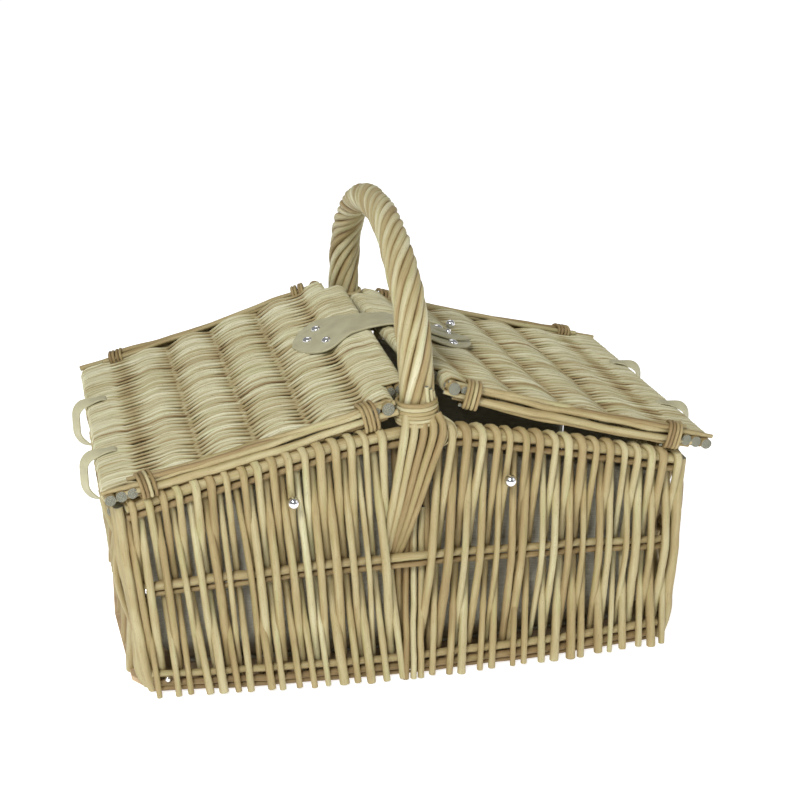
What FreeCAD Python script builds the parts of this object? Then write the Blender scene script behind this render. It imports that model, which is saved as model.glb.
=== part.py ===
import FreeCAD, Part
import math
import os

# Double-lidded willow basket, in millimetres.
# Origin: on the floor, under the middle of the base. +X along the length, +Z up, front wall at -Y.

V = FreeCAD.Vector

# ---- driving dimensions ---------------------------------------------------------------
RIM_HALF_LENGTH = 225.0
BASE_HALF_LENGTH = 214.7
RIM_HALF_WIDTH = 137.4
BASE_HALF_WIDTH = 137.9
RIM_BOW = 14.0
BASE_BOW = 15.0
RIM_CORNER_HEIGHT = 157.0
RIM_MIDDLE_HEIGHT = 208.3
END_RIM_HEIGHT = 153.0
MID_BAND_END_HEIGHT = 88.0
MID_BAND_RISE = 13.0
BOTTOM_BAND_HEIGHTS = (8.0, 17.0)
BAND_PAIR_GAP = 7.2

CLEAR = 0.4

RIM_ROD_R = 4.3
THIN_ROD_R = 2.5
STAKE_R = 2.6
POST_R = 4.0
PANEL_THICK = 5.0

STAKE_PITCH = 11.7
WEAVE_OFFSET = THIN_ROD_R + STAKE_R + 1.3
HOOK_OFFSET = RIM_ROD_R + STAKE_R + 0.9
FOOT_OFFSET = 8.2
STAKE_FOOT_Z = 1.0

HANDLE_HALF_SPAN = 146.0
HANDLE_TOP = 344.0
HANDLE_SHOULDER_Z = 280.0
HANDLE_CROWN_HALF = 62.5
HANDLE_BEND_RADII = (115.0, 138.0, 138.0, 115.0)
HANDLE_CORE_R = 8.4
HANDLE_STRAND_R = 2.4
HANDLE_STRANDS = 10
FOOT_BOTTOM_Z = RIM_MIDDLE_HEIGHT + RIM_ROD_R + 1.2

LID_ROD_X = 232.0
LID_ROD_Z = 170.6
LID_INNER_X = 23.5
LID_INNER_RISE = {"left": 57.7, "right": 61.2}
END_ROD_R = 4.0
END_ROD_PITCH = 8.6
END_RODS = 3
INNER_ROD_R = 4.8
SECOND_INNER_ROD_R = 3.0
CENTRE_ROD_R = 3.6
CENTRE_ROD_PITCH = 7.4
CENTRE_RODS = 2
CENTRE_HALF = 126.0
RIB_R = 2.3
RIBS = 4
RIB_FIRST_U = 52.0
RIB_LAST_U = 178.0
WEAVER_THICK = 2.0
LID_EDGE_OUTER = 148.0
LID_EDGE_INNER = 156.0
EDGE_STRIP = 10.5
BORDER_ROD_R = 2.6
BINDING_R = 1.2
BINDING_TURNS = 4
OUTER_BINDING_U = 24.0
INNER_BINDING_GAP = 19.0

LEATHER = 2.2
STRAP_Y = 16.0
KEEPER_Y = 11.0
LOOP_Y = (-6 * STAKE_PITCH, 4 * STAKE_PITCH)
LOOP_WIDTH = 9.0
LOOP_THICK = 1.6

LINING_OFFSET = 11.4
LINING_THICK = 1.2
LINING_DROP = 24.0

ALL = {}


# ---- small helpers --------------------------------------------------------------------
def lerp(a, b, t):
    return a + (b - a) * t


def save(name, solids):
    """Keeps the solids of one node, to be written at the end."""
    ALL.setdefault(name, []).extend(solids)


def cylinder(start, end, radius):
    axis = end - start
    return Part.makeCylinder(radius, axis.Length, start, axis)


def sweep(wire, start, tangent, radius):
    """A round rod along a wire that starts at start in the direction of tangent."""
    profile = Part.Wire([Part.Circle(start, tangent, radius).toShape()])
    return Part.Solid(wire.makePipeShell([profile], True, False))


def arc_rod(start, middle, end, radius):
    arc = Part.Arc(start, middle, end)
    return sweep(Part.Wire([arc.toShape()]), start, arc.tangent(arc.FirstParameter)[0], radius)


def bent_path(points, bend_radii):
    """Straight runs through the points, joined by tangent arcs of the given radii."""
    edges = []
    last = points[0]
    for before, corner, after, radius in zip(points, points[1:], points[2:], bend_radii):
        back = (before - corner).normalize()
        ahead = (after - corner).normalize()
        half = back.getAngle(ahead) / 2
        reach = radius / math.tan(half)
        entry = corner + back * reach
        leave = corner + ahead * reach
        inward = (back + ahead).normalize()
        top = corner + inward * (radius / math.sin(half) - radius)
        edges.append(Part.LineSegment(last, entry).toShape())
        edges.append(Part.Arc(entry, top, leave).toShape())
        last = leave
    edges.append(Part.LineSegment(last, points[-1]).toShape())
    return Part.Wire(edges)


def bent_rod(points, bend_radii, radius):
    return sweep(bent_path(points, bend_radii), points[0], points[1] - points[0], radius)


def prism(points, direction):
    """A solid from a flat polygon, pushed along a direction."""
    return Part.Face(Part.makePolygon(points + [points[0]])).extrude(direction)


def mirrored(solids, normal):
    return [s.mirror(V(0, 0, 0), normal) for s in solids]


# ---- the wall surface -----------------------------------------------------------------
def arch(x, half, rise):
    """Height of a circular arch of that half span and rise, at x."""
    radius = (half * half + rise * rise) / (2 * rise)
    return math.sqrt(radius * radius - x * x) - (radius - rise)


def rim_height(x):
    """The front and rear rims rise in a straight gable to the handle."""
    return lerp(RIM_MIDDLE_HEIGHT, RIM_CORNER_HEIGHT, abs(x) / RIM_HALF_LENGTH)


def front_point(share, t, offset, height=None):
    """A point of the front wall: share of the half length, t from base to rim, offset outwards."""
    half = lerp(BASE_HALF_LENGTH, RIM_HALF_LENGTH, t)
    x = share * half
    width = lerp(BASE_HALF_WIDTH, RIM_HALF_WIDTH, t)
    bow = arch(x, half, lerp(BASE_BOW, RIM_BOW, t))
    top = rim_height(share * RIM_HALF_LENGTH)
    return V(x, -(width + bow + offset), top * t if height is None else height)


def mid_band_height(share):
    return MID_BAND_END_HEIGHT + MID_BAND_RISE * (1 - share * share)


def end_point(y, t, offset, height=None):
    """A point of the right end wall, which is flat and leans outwards."""
    x = lerp(BASE_HALF_LENGTH, RIM_HALF_LENGTH, t) + offset
    return V(x, y, END_RIM_HEIGHT * t if height is None else height)


# ---- base, bands and rims -------------------------------------------------------------
ROD_END_GAP = 13.0


def outline(half_length, half_width, bow, z):
    """Closed outline of the basket at a height: two bowed sides and two straight ends."""
    a = V(-half_length, -half_width, z)
    b = V(half_length, -half_width, z)
    c = V(half_length, half_width, z)
    d = V(-half_length, half_width, z)
    front = Part.Arc(a, V(0, -half_width - bow, z), b).toShape()
    rear = Part.Arc(c, V(0, half_width + bow, z), d).toShape()
    right = Part.LineSegment(b, c).toShape()
    left = Part.LineSegment(d, a).toShape()
    return Part.Wire([front, right, rear, left])


def build_base():
    grow = THIN_ROD_R
    panel = Part.Face(outline(BASE_HALF_LENGTH + grow, BASE_HALF_WIDTH + grow, BASE_BOW, 0))
    save("base_panel", [panel.extrude(V(0, 0, PANEL_THICK))])


def band_rods(height_at, lift):
    """One rod on each wall, at the same level all round."""
    share = 1 - ROD_END_GAP / RIM_HALF_LENGTH
    points = []
    for s in (-share, 0, share):
        z = height_at(s) + lift
        points.append(front_point(s, z / rim_height(s * RIM_HALF_LENGTH), 0, z))
    front = arc_rod(*points, THIN_ROD_R)
    z = height_at(1) + lift
    t = z / END_RIM_HEIGHT
    reach = RIM_HALF_WIDTH - ROD_END_GAP
    end = cylinder(end_point(-reach, t, 0, z), end_point(reach, t, 0, z), THIN_ROD_R)
    return [front] + mirrored([front], V(0, 1, 0)) + [end] + mirrored([end], V(1, 0, 0))


def build_bands():
    for lift in BOTTOM_BAND_HEIGHTS:
        save("bottom_band_rods", band_rods(lambda share: 0.0, lift))
    for lift in (-BAND_PAIR_GAP / 2, BAND_PAIR_GAP / 2):
        save("mid_band_rods", band_rods(mid_band_height, lift))


def gable_rod(drop, radius):
    """Half of a front rim rod, from the corner up to the handle."""
    inner = 0.4 / RIM_HALF_LENGTH
    outer = 1 - ROD_END_GAP / RIM_HALF_LENGTH
    points = []
    for share in (outer, (inner + outer) / 2, inner):
        points.append(front_point(share, 1, 0) - V(0, 0, drop))
    return arc_rod(*points, radius)


def build_rims():
    thin_drop = RIM_ROD_R + THIN_ROD_R + 1.4
    reach = RIM_HALF_WIDTH - ROD_END_GAP
    for drop, radius, name in ((0, RIM_ROD_R, None), (thin_drop, THIN_ROD_R, "thin_rim_rods")):
        half = gable_rod(drop, radius)
        front = [half] + mirrored([half], V(1, 0, 0))
        z = END_RIM_HEIGHT - drop
        end = cylinder(end_point(-reach, 1, 0, z), end_point(reach, 1, 0, z), radius)
        save(name or "front_rim_rods", front)
        save(name or "rear_rim_rods", mirrored(front, V(0, 1, 0)))
        save(name or "right_rim_rod", [end])
        save(name or "left_rim_rod", mirrored([end], V(1, 0, 0)))


def build_posts():
    """Two posts at each corner, one facing the front and one facing the end."""
    posts = []
    for along, across in ((0.0, 1.5), (1.5, -7.5)):
        foot = V(BASE_HALF_LENGTH + along, -BASE_HALF_WIDTH - across, PANEL_THICK + CLEAR)
        head = V(RIM_HALF_LENGTH + along, -RIM_HALF_WIDTH - across, RIM_CORNER_HEIGHT + 3)
        posts.append(cylinder(foot, head, POST_R))
    posts += mirrored(posts, V(1, 0, 0))
    save("corner_posts", posts + mirrored(posts, V(0, 1, 0)))


# ---- wall stakes ----------------------------------------------------------------------
def hairpin(place_in, place_out, mid_t_in, mid_t_out):
    """One willow rod: up inside the bottom band, outside the mid band and inside the rim,
    over the rim, then down outside the rim, inside the mid band and outside the bottom band.
    place_in and place_out give a point of the wall from (t, offset)."""
    lift = V(0, 0, HOOK_OFFSET)
    foot_in = place_in(0, -FOOT_OFFSET)
    foot_in.z = PANEL_THICK + 2 * CLEAR
    foot_out = place_out(0, FOOT_OFFSET)
    foot_out.z = STAKE_FOOT_Z
    points = [
        foot_in,
        place_in(mid_t_in, WEAVE_OFFSET),
        place_in(1, -HOOK_OFFSET),
        place_in(1, -HOOK_OFFSET) + lift,
        place_out(1, HOOK_OFFSET) + lift,
        place_out(1, HOOK_OFFSET),
        place_out(mid_t_out, -WEAVE_OFFSET),
        foot_out,
    ]
    hook = HOOK_OFFSET - 0.3
    return bent_rod(points, (40, 8, hook, hook, 8, 40), STAKE_R)


def front_hairpin(x_in):
    share_in = x_in / RIM_HALF_LENGTH
    share_out = (x_in + STAKE_PITCH / 2) / RIM_HALF_LENGTH

    def t_mid(share):
        return mid_band_height(share) / rim_height(share * RIM_HALF_LENGTH)

    return hairpin(
        lambda t, off: front_point(share_in, t, off),
        lambda t, off: front_point(share_out, t, off),
        t_mid(share_in),
        t_mid(share_out),
    )


def end_hairpin(y_in):
    y_out = y_in + STAKE_PITCH / 2
    t_mid = MID_BAND_END_HEIGHT / END_RIM_HEIGHT
    return hairpin(
        lambda t, off: end_point(y_in, t, off),
        lambda t, off: end_point(y_out, t, off),
        t_mid,
        t_mid,
    )


STAKES_PER_SIDE = 17
HANDLE_STAKE_GAP = 24.0
LINER_R = 3.0
LINER_X = (-12.0, 0.0, 12.0)
SHORT_STAKE_X = (-18.0, -6.0, 6.0, 18.0)
SHORT_STAKE_TOP = 142.0


def liner(x):
    """A straight thick rod inside the wall, under the handle."""
    share = x / RIM_HALF_LENGTH
    foot = front_point(share, 0, -(THIN_ROD_R + LINER_R + 0.7), PANEL_THICK + CLEAR)
    head = front_point(share, 1, -(RIM_ROD_R + LINER_R + 0.7))
    return cylinder(foot, head, LINER_R)


def short_stake(x):
    """A rod outside the bottom band and inside the mid band, ending behind the handle's foot."""
    share = x / RIM_HALF_LENGTH
    foot = front_point(share, 0, FOOT_OFFSET, STAKE_FOOT_Z)
    middle = front_point(share, mid_band_height(share) / RIM_MIDDLE_HEIGHT, -WEAVE_OFFSET)
    head = front_point(share, SHORT_STAKE_TOP / RIM_MIDDLE_HEIGHT, -WEAVE_OFFSET)
    return bent_rod([foot, middle, head], (40,), STAKE_R)


def build_stakes():
    front = []
    for k in range(STAKES_PER_SIDE):
        front.append(front_hairpin(HANDLE_STAKE_GAP + k * STAKE_PITCH))
        front.append(front_hairpin(-HANDLE_STAKE_GAP - k * STAKE_PITCH - STAKE_PITCH / 2))
    save("front_wall_stakes", front)
    save("rear_wall_stakes", mirrored(front, V(0, 1, 0)))
    liners = [liner(x) for x in LINER_X]
    save("handle_liners", liners + mirrored(liners, V(0, 1, 0)))
    short = [short_stake(x) for x in SHORT_STAKE_X]
    save("short_stakes", short + mirrored(short, V(0, 1, 0)))
    half_count = 9
    end = []
    for k in range(-half_count, half_count + 1):
        y_in = k * STAKE_PITCH - STAKE_PITCH / 4
        gap_centre = y_in + STAKE_PITCH / 4
        if all(abs(gap_centre - y) > STAKE_PITCH * 0.6 for y in LOOP_Y):
            end.append(end_hairpin(y_in))
    save("right_wall_stakes", end)
    save("left_wall_stakes", mirrored(end, V(1, 0, 0)))


# ---- handle ---------------------------------------------------------------------------
def arch_rod(out, aside, radius):
    """A rod along the arch in the YZ plane, grown outwards by out and moved along X by aside."""
    slope = math.atan2(HANDLE_TOP - HANDLE_SHOULDER_Z, HANDLE_HALF_SPAN - HANDLE_CROWN_HALF)
    shoulder_lift = out * math.tan((math.pi / 2 - slope) / 2)
    crown_shift = out * math.tan(slope / 2)
    span = HANDLE_HALF_SPAN + out
    shoulder = HANDLE_SHOULDER_Z + shoulder_lift
    crown = HANDLE_CROWN_HALF + crown_shift
    points = [
        V(aside, -span, FOOT_BOTTOM_Z),
        V(aside, -span, shoulder),
        V(aside, -crown, HANDLE_TOP + out),
        V(aside, crown, HANDLE_TOP + out),
        V(aside, span, shoulder),
        V(aside, span, FOOT_BOTTOM_Z),
    ]
    return bent_rod(points, [bend + out for bend in HANDLE_BEND_RADII], radius)


def build_handle():
    save("handle_core", [arch_rod(0, 0, HANDLE_CORE_R)])
    ring = HANDLE_CORE_R + HANDLE_STRAND_R + CLEAR
    strands = []
    for k in range(HANDLE_STRANDS):
        turn = math.tau * (k + 0.5) / HANDLE_STRANDS
        strands.append(arch_rod(ring * math.sin(turn), ring * math.cos(turn), HANDLE_STRAND_R))
    save("handle_strands", strands)


def build_handle_feet():
    """Collars of thin willow round each leg, and thick rods from the collar over the rim."""
    turns = 5
    wrap_r = 1.5
    around = HANDLE_CORE_R + 2 * HANDLE_STRAND_R + wrap_r + 2 * CLEAR
    collars = []
    for k in range(turns):
        z = FOOT_BOTTOM_Z + wrap_r + 0.2 + k * (2 * wrap_r + 0.3)
        collars.append(Part.makeTorus(around, wrap_r, V(0, -HANDLE_HALF_SPAN, z)))
    save("handle_collars", collars + mirrored(collars, V(0, 1, 0)))
    rods = 5
    foot_r = 2.6
    spread_top = 6.2
    spread_low = 5.7
    lean = -10.0
    low_t = (mid_band_height(0) + 13) / RIM_MIDDLE_HEIGHT
    feet = []
    for k in range(rods):
        place = k - (rods - 1) / 2
        high = front_point(place * spread_top / RIM_HALF_LENGTH, 1, RIM_ROD_R + foot_r + 1.0)
        low_share = (lean + place * spread_low) / RIM_HALF_LENGTH
        low = front_point(low_share, low_t, 0.5)
        feet.append(cylinder(low, high + (high - low).normalize() * 2, foot_r))
    save("front_foot_rods", feet)
    save("rear_foot_rods", mirrored(feet, V(0, 1, 0)))


# ---- lids -----------------------------------------------------------------------------
# A lid is built flat: X runs from the outer rods to the middle of the basket, Z is its thickness.
def lid_slope(side):
    return math.atan2(LID_INNER_RISE[side], LID_ROD_X - LID_INNER_X)


def lid_length():
    return math.hypot(LID_INNER_RISE["left"], LID_ROD_X - LID_INNER_X)


def lid_edge(u):
    return lerp(LID_EDGE_OUTER, LID_EDGE_INNER, u / lid_length())


def place_lid(solids, side):
    """Moves flat lid pieces to where they rest on the basket."""
    placed = []
    for solid in solids:
        copy = solid.copy()
        turn = FreeCAD.Rotation(V(0, 1, 0), -math.degrees(lid_slope(side)))
        copy.Placement = FreeCAD.Placement(V(-LID_ROD_X, 0, LID_ROD_Z), turn)
        placed.append(copy)
    return placed if side == "left" else mirrored(placed, V(1, 0, 0))


def rib_places():
    return [lerp(RIB_FIRST_U, RIB_LAST_U, k / (RIBS - 1)) for k in range(RIBS)]


def centre_rod_places():
    """The short rods between the handle's legs, where the two lids meet."""
    first = lid_length() + INNER_ROD_R + CENTRE_ROD_R + 0.3
    return [first + k * CENTRE_ROD_PITCH for k in range(CENTRE_RODS)]


def across_rod(u, w, half, radius):
    return cylinder(V(u, -half, w), V(u, half, w), radius)


def lid_rods():
    length = lid_length()
    ends = []
    for k in range(END_RODS):
        ends.append(across_rod(k * END_ROD_PITCH, 0, LID_EDGE_OUTER, END_ROD_R))
    second_u = length - INNER_ROD_R - SECOND_INNER_ROD_R - 0.5
    inner = [
        across_rod(length, 0, LID_EDGE_INNER, INNER_ROD_R),
        across_rod(second_u, 0, LID_EDGE_INNER - 10, SECOND_INNER_ROD_R),
    ]
    for u in centre_rod_places():
        inner.append(across_rod(u, 0, CENTRE_HALF, CENTRE_ROD_R))
    ribs = [across_rod(u, 0, lid_edge(u) - 7.0, RIB_R) for u in rib_places()]
    return ends, inner, ribs


def slot_box(u_low, u_high, half_thick, half_width):
    size = (u_high - u_low, 2 * half_width, 2 * half_thick)
    return Part.makeBox(*size, V(u_low, -half_width, -half_thick))


def lid_weave():
    """The woven field as one sheet, with sleeves round the outer, inner and centre rods."""
    length = lid_length()
    wide = LID_EDGE_INNER
    end_thick = END_ROD_R + 0.2
    end_far = END_ROD_PITCH * (END_RODS - 1) + end_thick
    inner_thick = INNER_ROD_R + 0.2
    inner_near = length - INNER_ROD_R - 2 * SECOND_INNER_ROD_R - 0.9
    inner_far = length + inner_thick
    field = slot_box(end_far, inner_near, RIB_R + WEAVER_THICK, wide)
    skin = WEAVER_THICK
    field = field.fuse(slot_box(-end_thick - skin, end_far + skin, end_thick + skin, wide))
    field = field.fuse(slot_box(inner_near - skin, inner_far + skin, inner_thick + skin, wide))
    field = field.cut(slot_box(-end_thick, end_far, end_thick, wide + 1))
    centre_far = centre_rod_places()[-1] + CENTRE_ROD_R + 0.2
    centre = (inner_far - skin, centre_far + skin)
    field = field.fuse(slot_box(*centre, inner_thick + skin, CENTRE_HALF))
    field = field.cut(slot_box(inner_near, inner_far, inner_thick, wide + 1))
    field = field.cut(slot_box(inner_near, centre_far, inner_thick, CENTRE_HALF + CLEAR))
    for u in rib_places():
        field = field.cut(across_rod(u, 0, wide + 1, RIB_R + 0.25))
    low = lid_edge(-10) - EDGE_STRIP
    beyond = length + 30
    high = lid_edge(beyond) - EDGE_STRIP
    plan = [V(-10, -low, -20), V(beyond, -high, -20), V(beyond, high, -20)]
    plan.append(V(-10, low, -20))
    field = field.common(prism(plan, V(0, 0, 40)))
    slit_u = end_far + skin
    for y in LOOP_Y:
        slit = Part.makeBox(9.3, LOOP_WIDTH + 2, 40, V(slit_u - 3.0, y - LOOP_WIDTH / 2 - 1, -20))
        field = field.cut(slit)
    for y in (-154, 124):
        relief = Part.makeBox(22, 30, 10, V(5, y, -end_thick - 0.9 - 10))
        field = field.cut(relief)
    return field.removeSplitter()


def border_rods():
    """Two rods along each side edge: one on top of the rods and ribs, one against the rib ends."""
    length = lid_length()
    top_w = INNER_ROD_R + BORDER_ROD_R + CLEAR
    rods = []
    u_low, u_high = -3.0, length + 3.0
    start = V(u_low, -(lid_edge(u_low) - 3.6), top_w)
    end = V(u_high, -(lid_edge(u_high) - 3.6), top_w)
    rods.append(cylinder(start, end, BORDER_ROD_R))
    u_low = END_ROD_PITCH * (END_RODS - 1) + END_ROD_R + 1.0
    u_high = length - INNER_ROD_R - 2 * SECOND_INNER_ROD_R - 1.5
    start = V(u_low, -(lid_edge(u_low) - 3.6), 0)
    end = V(u_high, -(lid_edge(u_high) - 3.6), 0)
    rods.append(cylinder(start, end, BORDER_ROD_R))
    return rods + mirrored(rods, V(0, 1, 0))


def binding_turn(u):
    """One turn of thin willow round the border rods."""
    near = lid_edge(u) - 3.6 - BORDER_ROD_R - BINDING_R - CLEAR
    far = lid_edge(u) - 3.6 + BORDER_ROD_R + BINDING_R + CLEAR
    high = INNER_ROD_R + 2 * BORDER_ROD_R + BINDING_R + 2 * CLEAR
    low = -BORDER_ROD_R - BINDING_R - CLEAR
    corners = [V(u, -far, low), V(u, -far, high), V(u, -near, high), V(u, -near, low)]
    middle = (corners[0] + corners[3]) * 0.5
    gap = V(0, 0.2, 0)
    points = [middle - gap] + corners + [middle + gap]
    return bent_rod(points, (1.6, 1.6, 1.6, 1.6), BINDING_R)


def build_bindings():
    pitch = 2 * BINDING_R + 0.3
    turns = []
    for start in (OUTER_BINDING_U, lid_length() - INNER_BINDING_GAP):
        for k in range(BINDING_TURNS):
            turns.append(binding_turn(start + k * pitch))
    return turns + mirrored(turns, V(0, 1, 0))


def handle_clearance():
    """The space that the handle's feet need between the lids."""
    post = Part.makeCylinder(19.5, 60, V(0, -HANDLE_HALF_SPAN, RIM_MIDDLE_HEIGHT))
    return post.fuse(post.mirror(V(0, 0, 0), V(0, 1, 0)))


def build_lids():
    ends, inner, ribs = lid_rods()
    weave = lid_weave()
    borders = border_rods()
    bindings = build_bindings()
    feet = handle_clearance()
    for side in ("left", "right"):
        save(side + "_lid_weave", [place_lid([weave], side)[0].cut(feet)])
        save(side + "_lid_end_rods", place_lid(ends, side))
        save(side + "_lid_inner_rods", place_lid(inner, side))
        save(side + "_lid_ribs", place_lid(ribs, side))
        save(side + "_lid_border_rods", place_lid(borders, side))
        save(side + "_lid_bindings", place_lid(bindings, side))


# ---- leather --------------------------------------------------------------------------
def lid_surface(side, u, w):
    """World point of the side's lid at distance u and height w, in the plane Y = 0."""
    slope = lid_slope(side)
    x = -LID_ROD_X + u * math.cos(slope) - w * math.sin(slope)
    z = LID_ROD_Z + u * math.sin(slope) + w * math.cos(slope)
    return V(x if side == "left" else -x, 0, z)


def leather_band(low_line, half_width):
    """Leather laid along a line in the XZ plane, LEATHER thick above it."""
    shift = V(0, half_width, 0)
    up = V(0, 0, LEATHER)
    ring = [p - shift for p in low_line] + [p - shift + up for p in reversed(low_line)]
    return prism(ring, V(0, 2 * half_width, 0))


def plan_cut(solid, plan):
    return solid.common(prism([V(x, y, 0) for x, y in plan], V(0, 0, 400)))


FIELD_TOP = RIB_R + WEAVER_THICK + CLEAR
SLEEVE_TOP = INNER_ROD_R + 0.2 + WEAVER_THICK + CLEAR
STRAP_JOINT_U = 3.0
TONGUE_HALF = 19.0
TONGUE_ROOT_HALF = 27.0
TONGUE_NECK_X = -8.0
TONGUE_TIP_X = 80.0
STUD_PLACE = (61.0, KEEPER_Y)


PATCH_CREST = 16.0
PATCH_RAMP = 8.0


def build_strap():
    """The patch on the left lid, the tongue and the keeper. Gives back the patch's solid."""
    length = lid_length()
    crest = length - PATCH_CREST
    left = [
        lid_surface("left", length - 62, FIELD_TOP),
        lid_surface("left", crest - PATCH_RAMP, FIELD_TOP),
        lid_surface("left", crest, SLEEVE_TOP),
        lid_surface("left", length - STRAP_JOINT_U - 0.3, SLEEVE_TOP),
    ]
    patch = leather_band(left, 60)
    knee = left[-1].x
    half_leaf = [(-62, 17), (-53, 29), (-45, 36), (-38, 35), (knee, TONGUE_ROOT_HALF)]
    plan = [(-66, STRAP_Y + 2)]
    plan += [(x, STRAP_Y - wide) for x, wide in half_leaf]
    plan += [(x, STRAP_Y + wide) for x, wide in reversed(half_leaf)]
    patch = plan_cut(patch, plan)
    save("strap_patch", [patch])

    gap_over_keeper = LEATHER + CLEAR
    brow = centre_rod_places()[-1] + CENTRE_ROD_R + 0.2 + WEAVER_THICK + CLEAR
    right = [
        lid_surface("left", length - STRAP_JOINT_U, SLEEVE_TOP),
        lid_surface("right", brow, SLEEVE_TOP + 0.2),
        lid_surface("right", crest, SLEEVE_TOP + gap_over_keeper),
        lid_surface("right", crest - PATCH_RAMP, FIELD_TOP + gap_over_keeper),
        lid_surface("right", length - 64, FIELD_TOP + gap_over_keeper),
    ]
    tongue = leather_band(right, 60)
    start = right[0].x
    plan = [
        (start, STRAP_Y - TONGUE_ROOT_HALF),
        (TONGUE_NECK_X, STRAP_Y - TONGUE_HALF),
        (58, KEEPER_Y - TONGUE_HALF),
        (71, KEEPER_Y - 12),
        (TONGUE_TIP_X, KEEPER_Y - 3),
        (71, KEEPER_Y + 10),
        (58, KEEPER_Y + TONGUE_HALF),
        (TONGUE_NECK_X, STRAP_Y + TONGUE_HALF),
        (start, STRAP_Y + TONGUE_ROOT_HALF),
    ]
    tongue = plan_cut(tongue, plan)
    hole = Part.makeCylinder(3.9, 100, V(stud_foot().x, STUD_PLACE[1], 180))
    save("strap_tongue", [tongue.cut(hole)])

    keeper_line = [
        lid_surface("right", crest - 10, FIELD_TOP),
        lid_surface("right", length - 62, FIELD_TOP),
    ]
    keeper = leather_band(keeper_line, 60)
    half_leaf = [(48, 38), (55, 36), (64, 26), (74, 14)]
    plan = [(x, KEEPER_Y - wide) for x, wide in half_leaf]
    plan += [(80, KEEPER_Y)]
    plan += [(x, KEEPER_Y + wide) for x, wide in reversed(half_leaf)]
    save("keeper_patch", [plan_cut(keeper, plan)])
    return patch


def stud_foot():
    """Where the stud's post stands on the keeper leather."""
    u = (LID_ROD_X - STUD_PLACE[0]) / math.cos(lid_slope("right"))
    foot = lid_surface("right", u, FIELD_TOP + LEATHER + CLEAR)
    foot.y = STUD_PLACE[1]
    return foot


def patch_height(u):
    """Height of the patch's top above the middle of the left lid, on its ramp and beside it."""
    share = min(max((u - lid_length() + PATCH_CREST + PATCH_RAMP) / PATCH_RAMP, 0.0), 1.0)
    return lerp(FIELD_TOP, SLEEVE_TOP, share) + LEATHER + CLEAR


def dome_rivet(x, y, side, radius, rise):
    """A domed rivet head on the leather of a lid, with a shank down to the weave."""
    slope = lid_slope(side)
    lean = V(-math.sin(slope) if side == "left" else math.sin(slope), 0, math.cos(slope))
    u = (LID_ROD_X - abs(x)) / math.cos(slope)
    height = patch_height(u) if side == "left" else FIELD_TOP + LEATHER + CLEAR
    seat = lid_surface(side, u, height)
    seat.y = y
    ball_r = (radius * radius + rise * rise) / (2 * rise)
    ball = Part.makeSphere(ball_r, seat - lean * (ball_r - rise))
    return ball.common(Part.makeCylinder(radius * 1.5, rise * 2, seat, lean))


def build_studs(patch):
    places = ((-43, STRAP_Y + 15), (-53, STRAP_Y + 2), (-41, STRAP_Y - 16))
    lifted = patch.copy()
    lifted.translate(V(0, 0, 0.2))
    save("strap_rivets", [dome_rivet(x, y, "left", 5.2, 2.8).cut(lifted) for x, y in places])
    places = ((57, KEEPER_Y - 24.5), (57, KEEPER_Y + 24.5))
    save("keeper_rivets", [dome_rivet(x, y, "right", 4.4, 2.6) for x, y in places])
    foot = stud_foot()
    post = Part.makeCylinder(1.8, 9.5, foot)
    knob = Part.makeSphere(3.3, foot + V(0, 0, 10.5))
    save("keeper_stud", [post.fuse(knob).removeSplitter()])
    balls = []
    for x in (-90.6, 77.6):
        share = x / RIM_HALF_LENGTH
        t = 157.0 / rim_height(x)
        balls.append(Part.makeSphere(4.0, front_point(share, t, 9.6)))
    save("front_studs", balls)
    save("rear_studs", mirrored(balls, V(0, 1, 0)))


def hinge_loop(y):
    """A leather ring through the lid's slit, over its outer rods and under the end rim."""
    slope = lid_slope("left")
    end_far = END_ROD_PITCH * (END_RODS - 1) + END_ROD_R + 0.2 + WEAVER_THICK
    slit = lid_surface("left", end_far + 2.6, 0)
    over = lid_surface("left", end_far + 2.6, END_ROD_R + WEAVER_THICK + 4.0)
    outer_x = -RIM_HALF_LENGTH - 22.5
    outer_z = over.z - (over.x - outer_x) * math.tan(slope)
    low_z = END_RIM_HEIGHT - RIM_ROD_R - 2 * THIN_ROD_R - 4.6
    inner_x = slit.x - 0.4
    low_inner = V(inner_x, 0, low_z)
    middle = V((outer_x + inner_x) / 2, 0, low_z)
    corners = [V(outer_x, 0, low_z), V(outer_x, 0, outer_z), over, low_inner]
    gap = V(0.2, 0, 0)
    points = [middle - gap] + corners + [middle + gap]
    radii = (14.0, 12.0, 2.5, 3.0)
    path = bent_path(points, radii)
    across = V(0, LOOP_WIDTH / 2, 0)
    thick = V(0, 0, LOOP_THICK / 2)
    start = points[0]
    ring = [start - across - thick, start + across - thick, start + across + thick]
    ring.append(start - across + thick)
    profile = Part.makePolygon(ring + [ring[0]])
    solid = Part.Solid(path.makePipeShell([profile], True, False))
    solid.translate(V(0, y, 0))
    return solid


def build_loops():
    loops = [hinge_loop(y) for y in LOOP_Y]
    save("left_hinge_loops", loops)
    right = [hinge_loop(y) for y in LOOP_Y]
    save("right_hinge_loops", mirrored(right, V(1, 0, 0)))


# ---- lining ---------------------------------------------------------------------------
def lining_block(offset, z_low):
    """Solid block of the basket's inside, down to z_low, that far in from the wall."""
    z_high = RIM_MIDDLE_HEIGHT
    t_high = z_high / RIM_CORNER_HEIGHT
    low = outline(BASE_HALF_LENGTH - offset, BASE_HALF_WIDTH - offset, BASE_BOW, z_low)
    half = lerp(BASE_HALF_LENGTH, RIM_HALF_LENGTH, t_high) - offset
    high = outline(half, RIM_HALF_WIDTH - offset, RIM_BOW, z_high)
    return Part.makeLoft([low, high], True, True)


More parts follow.
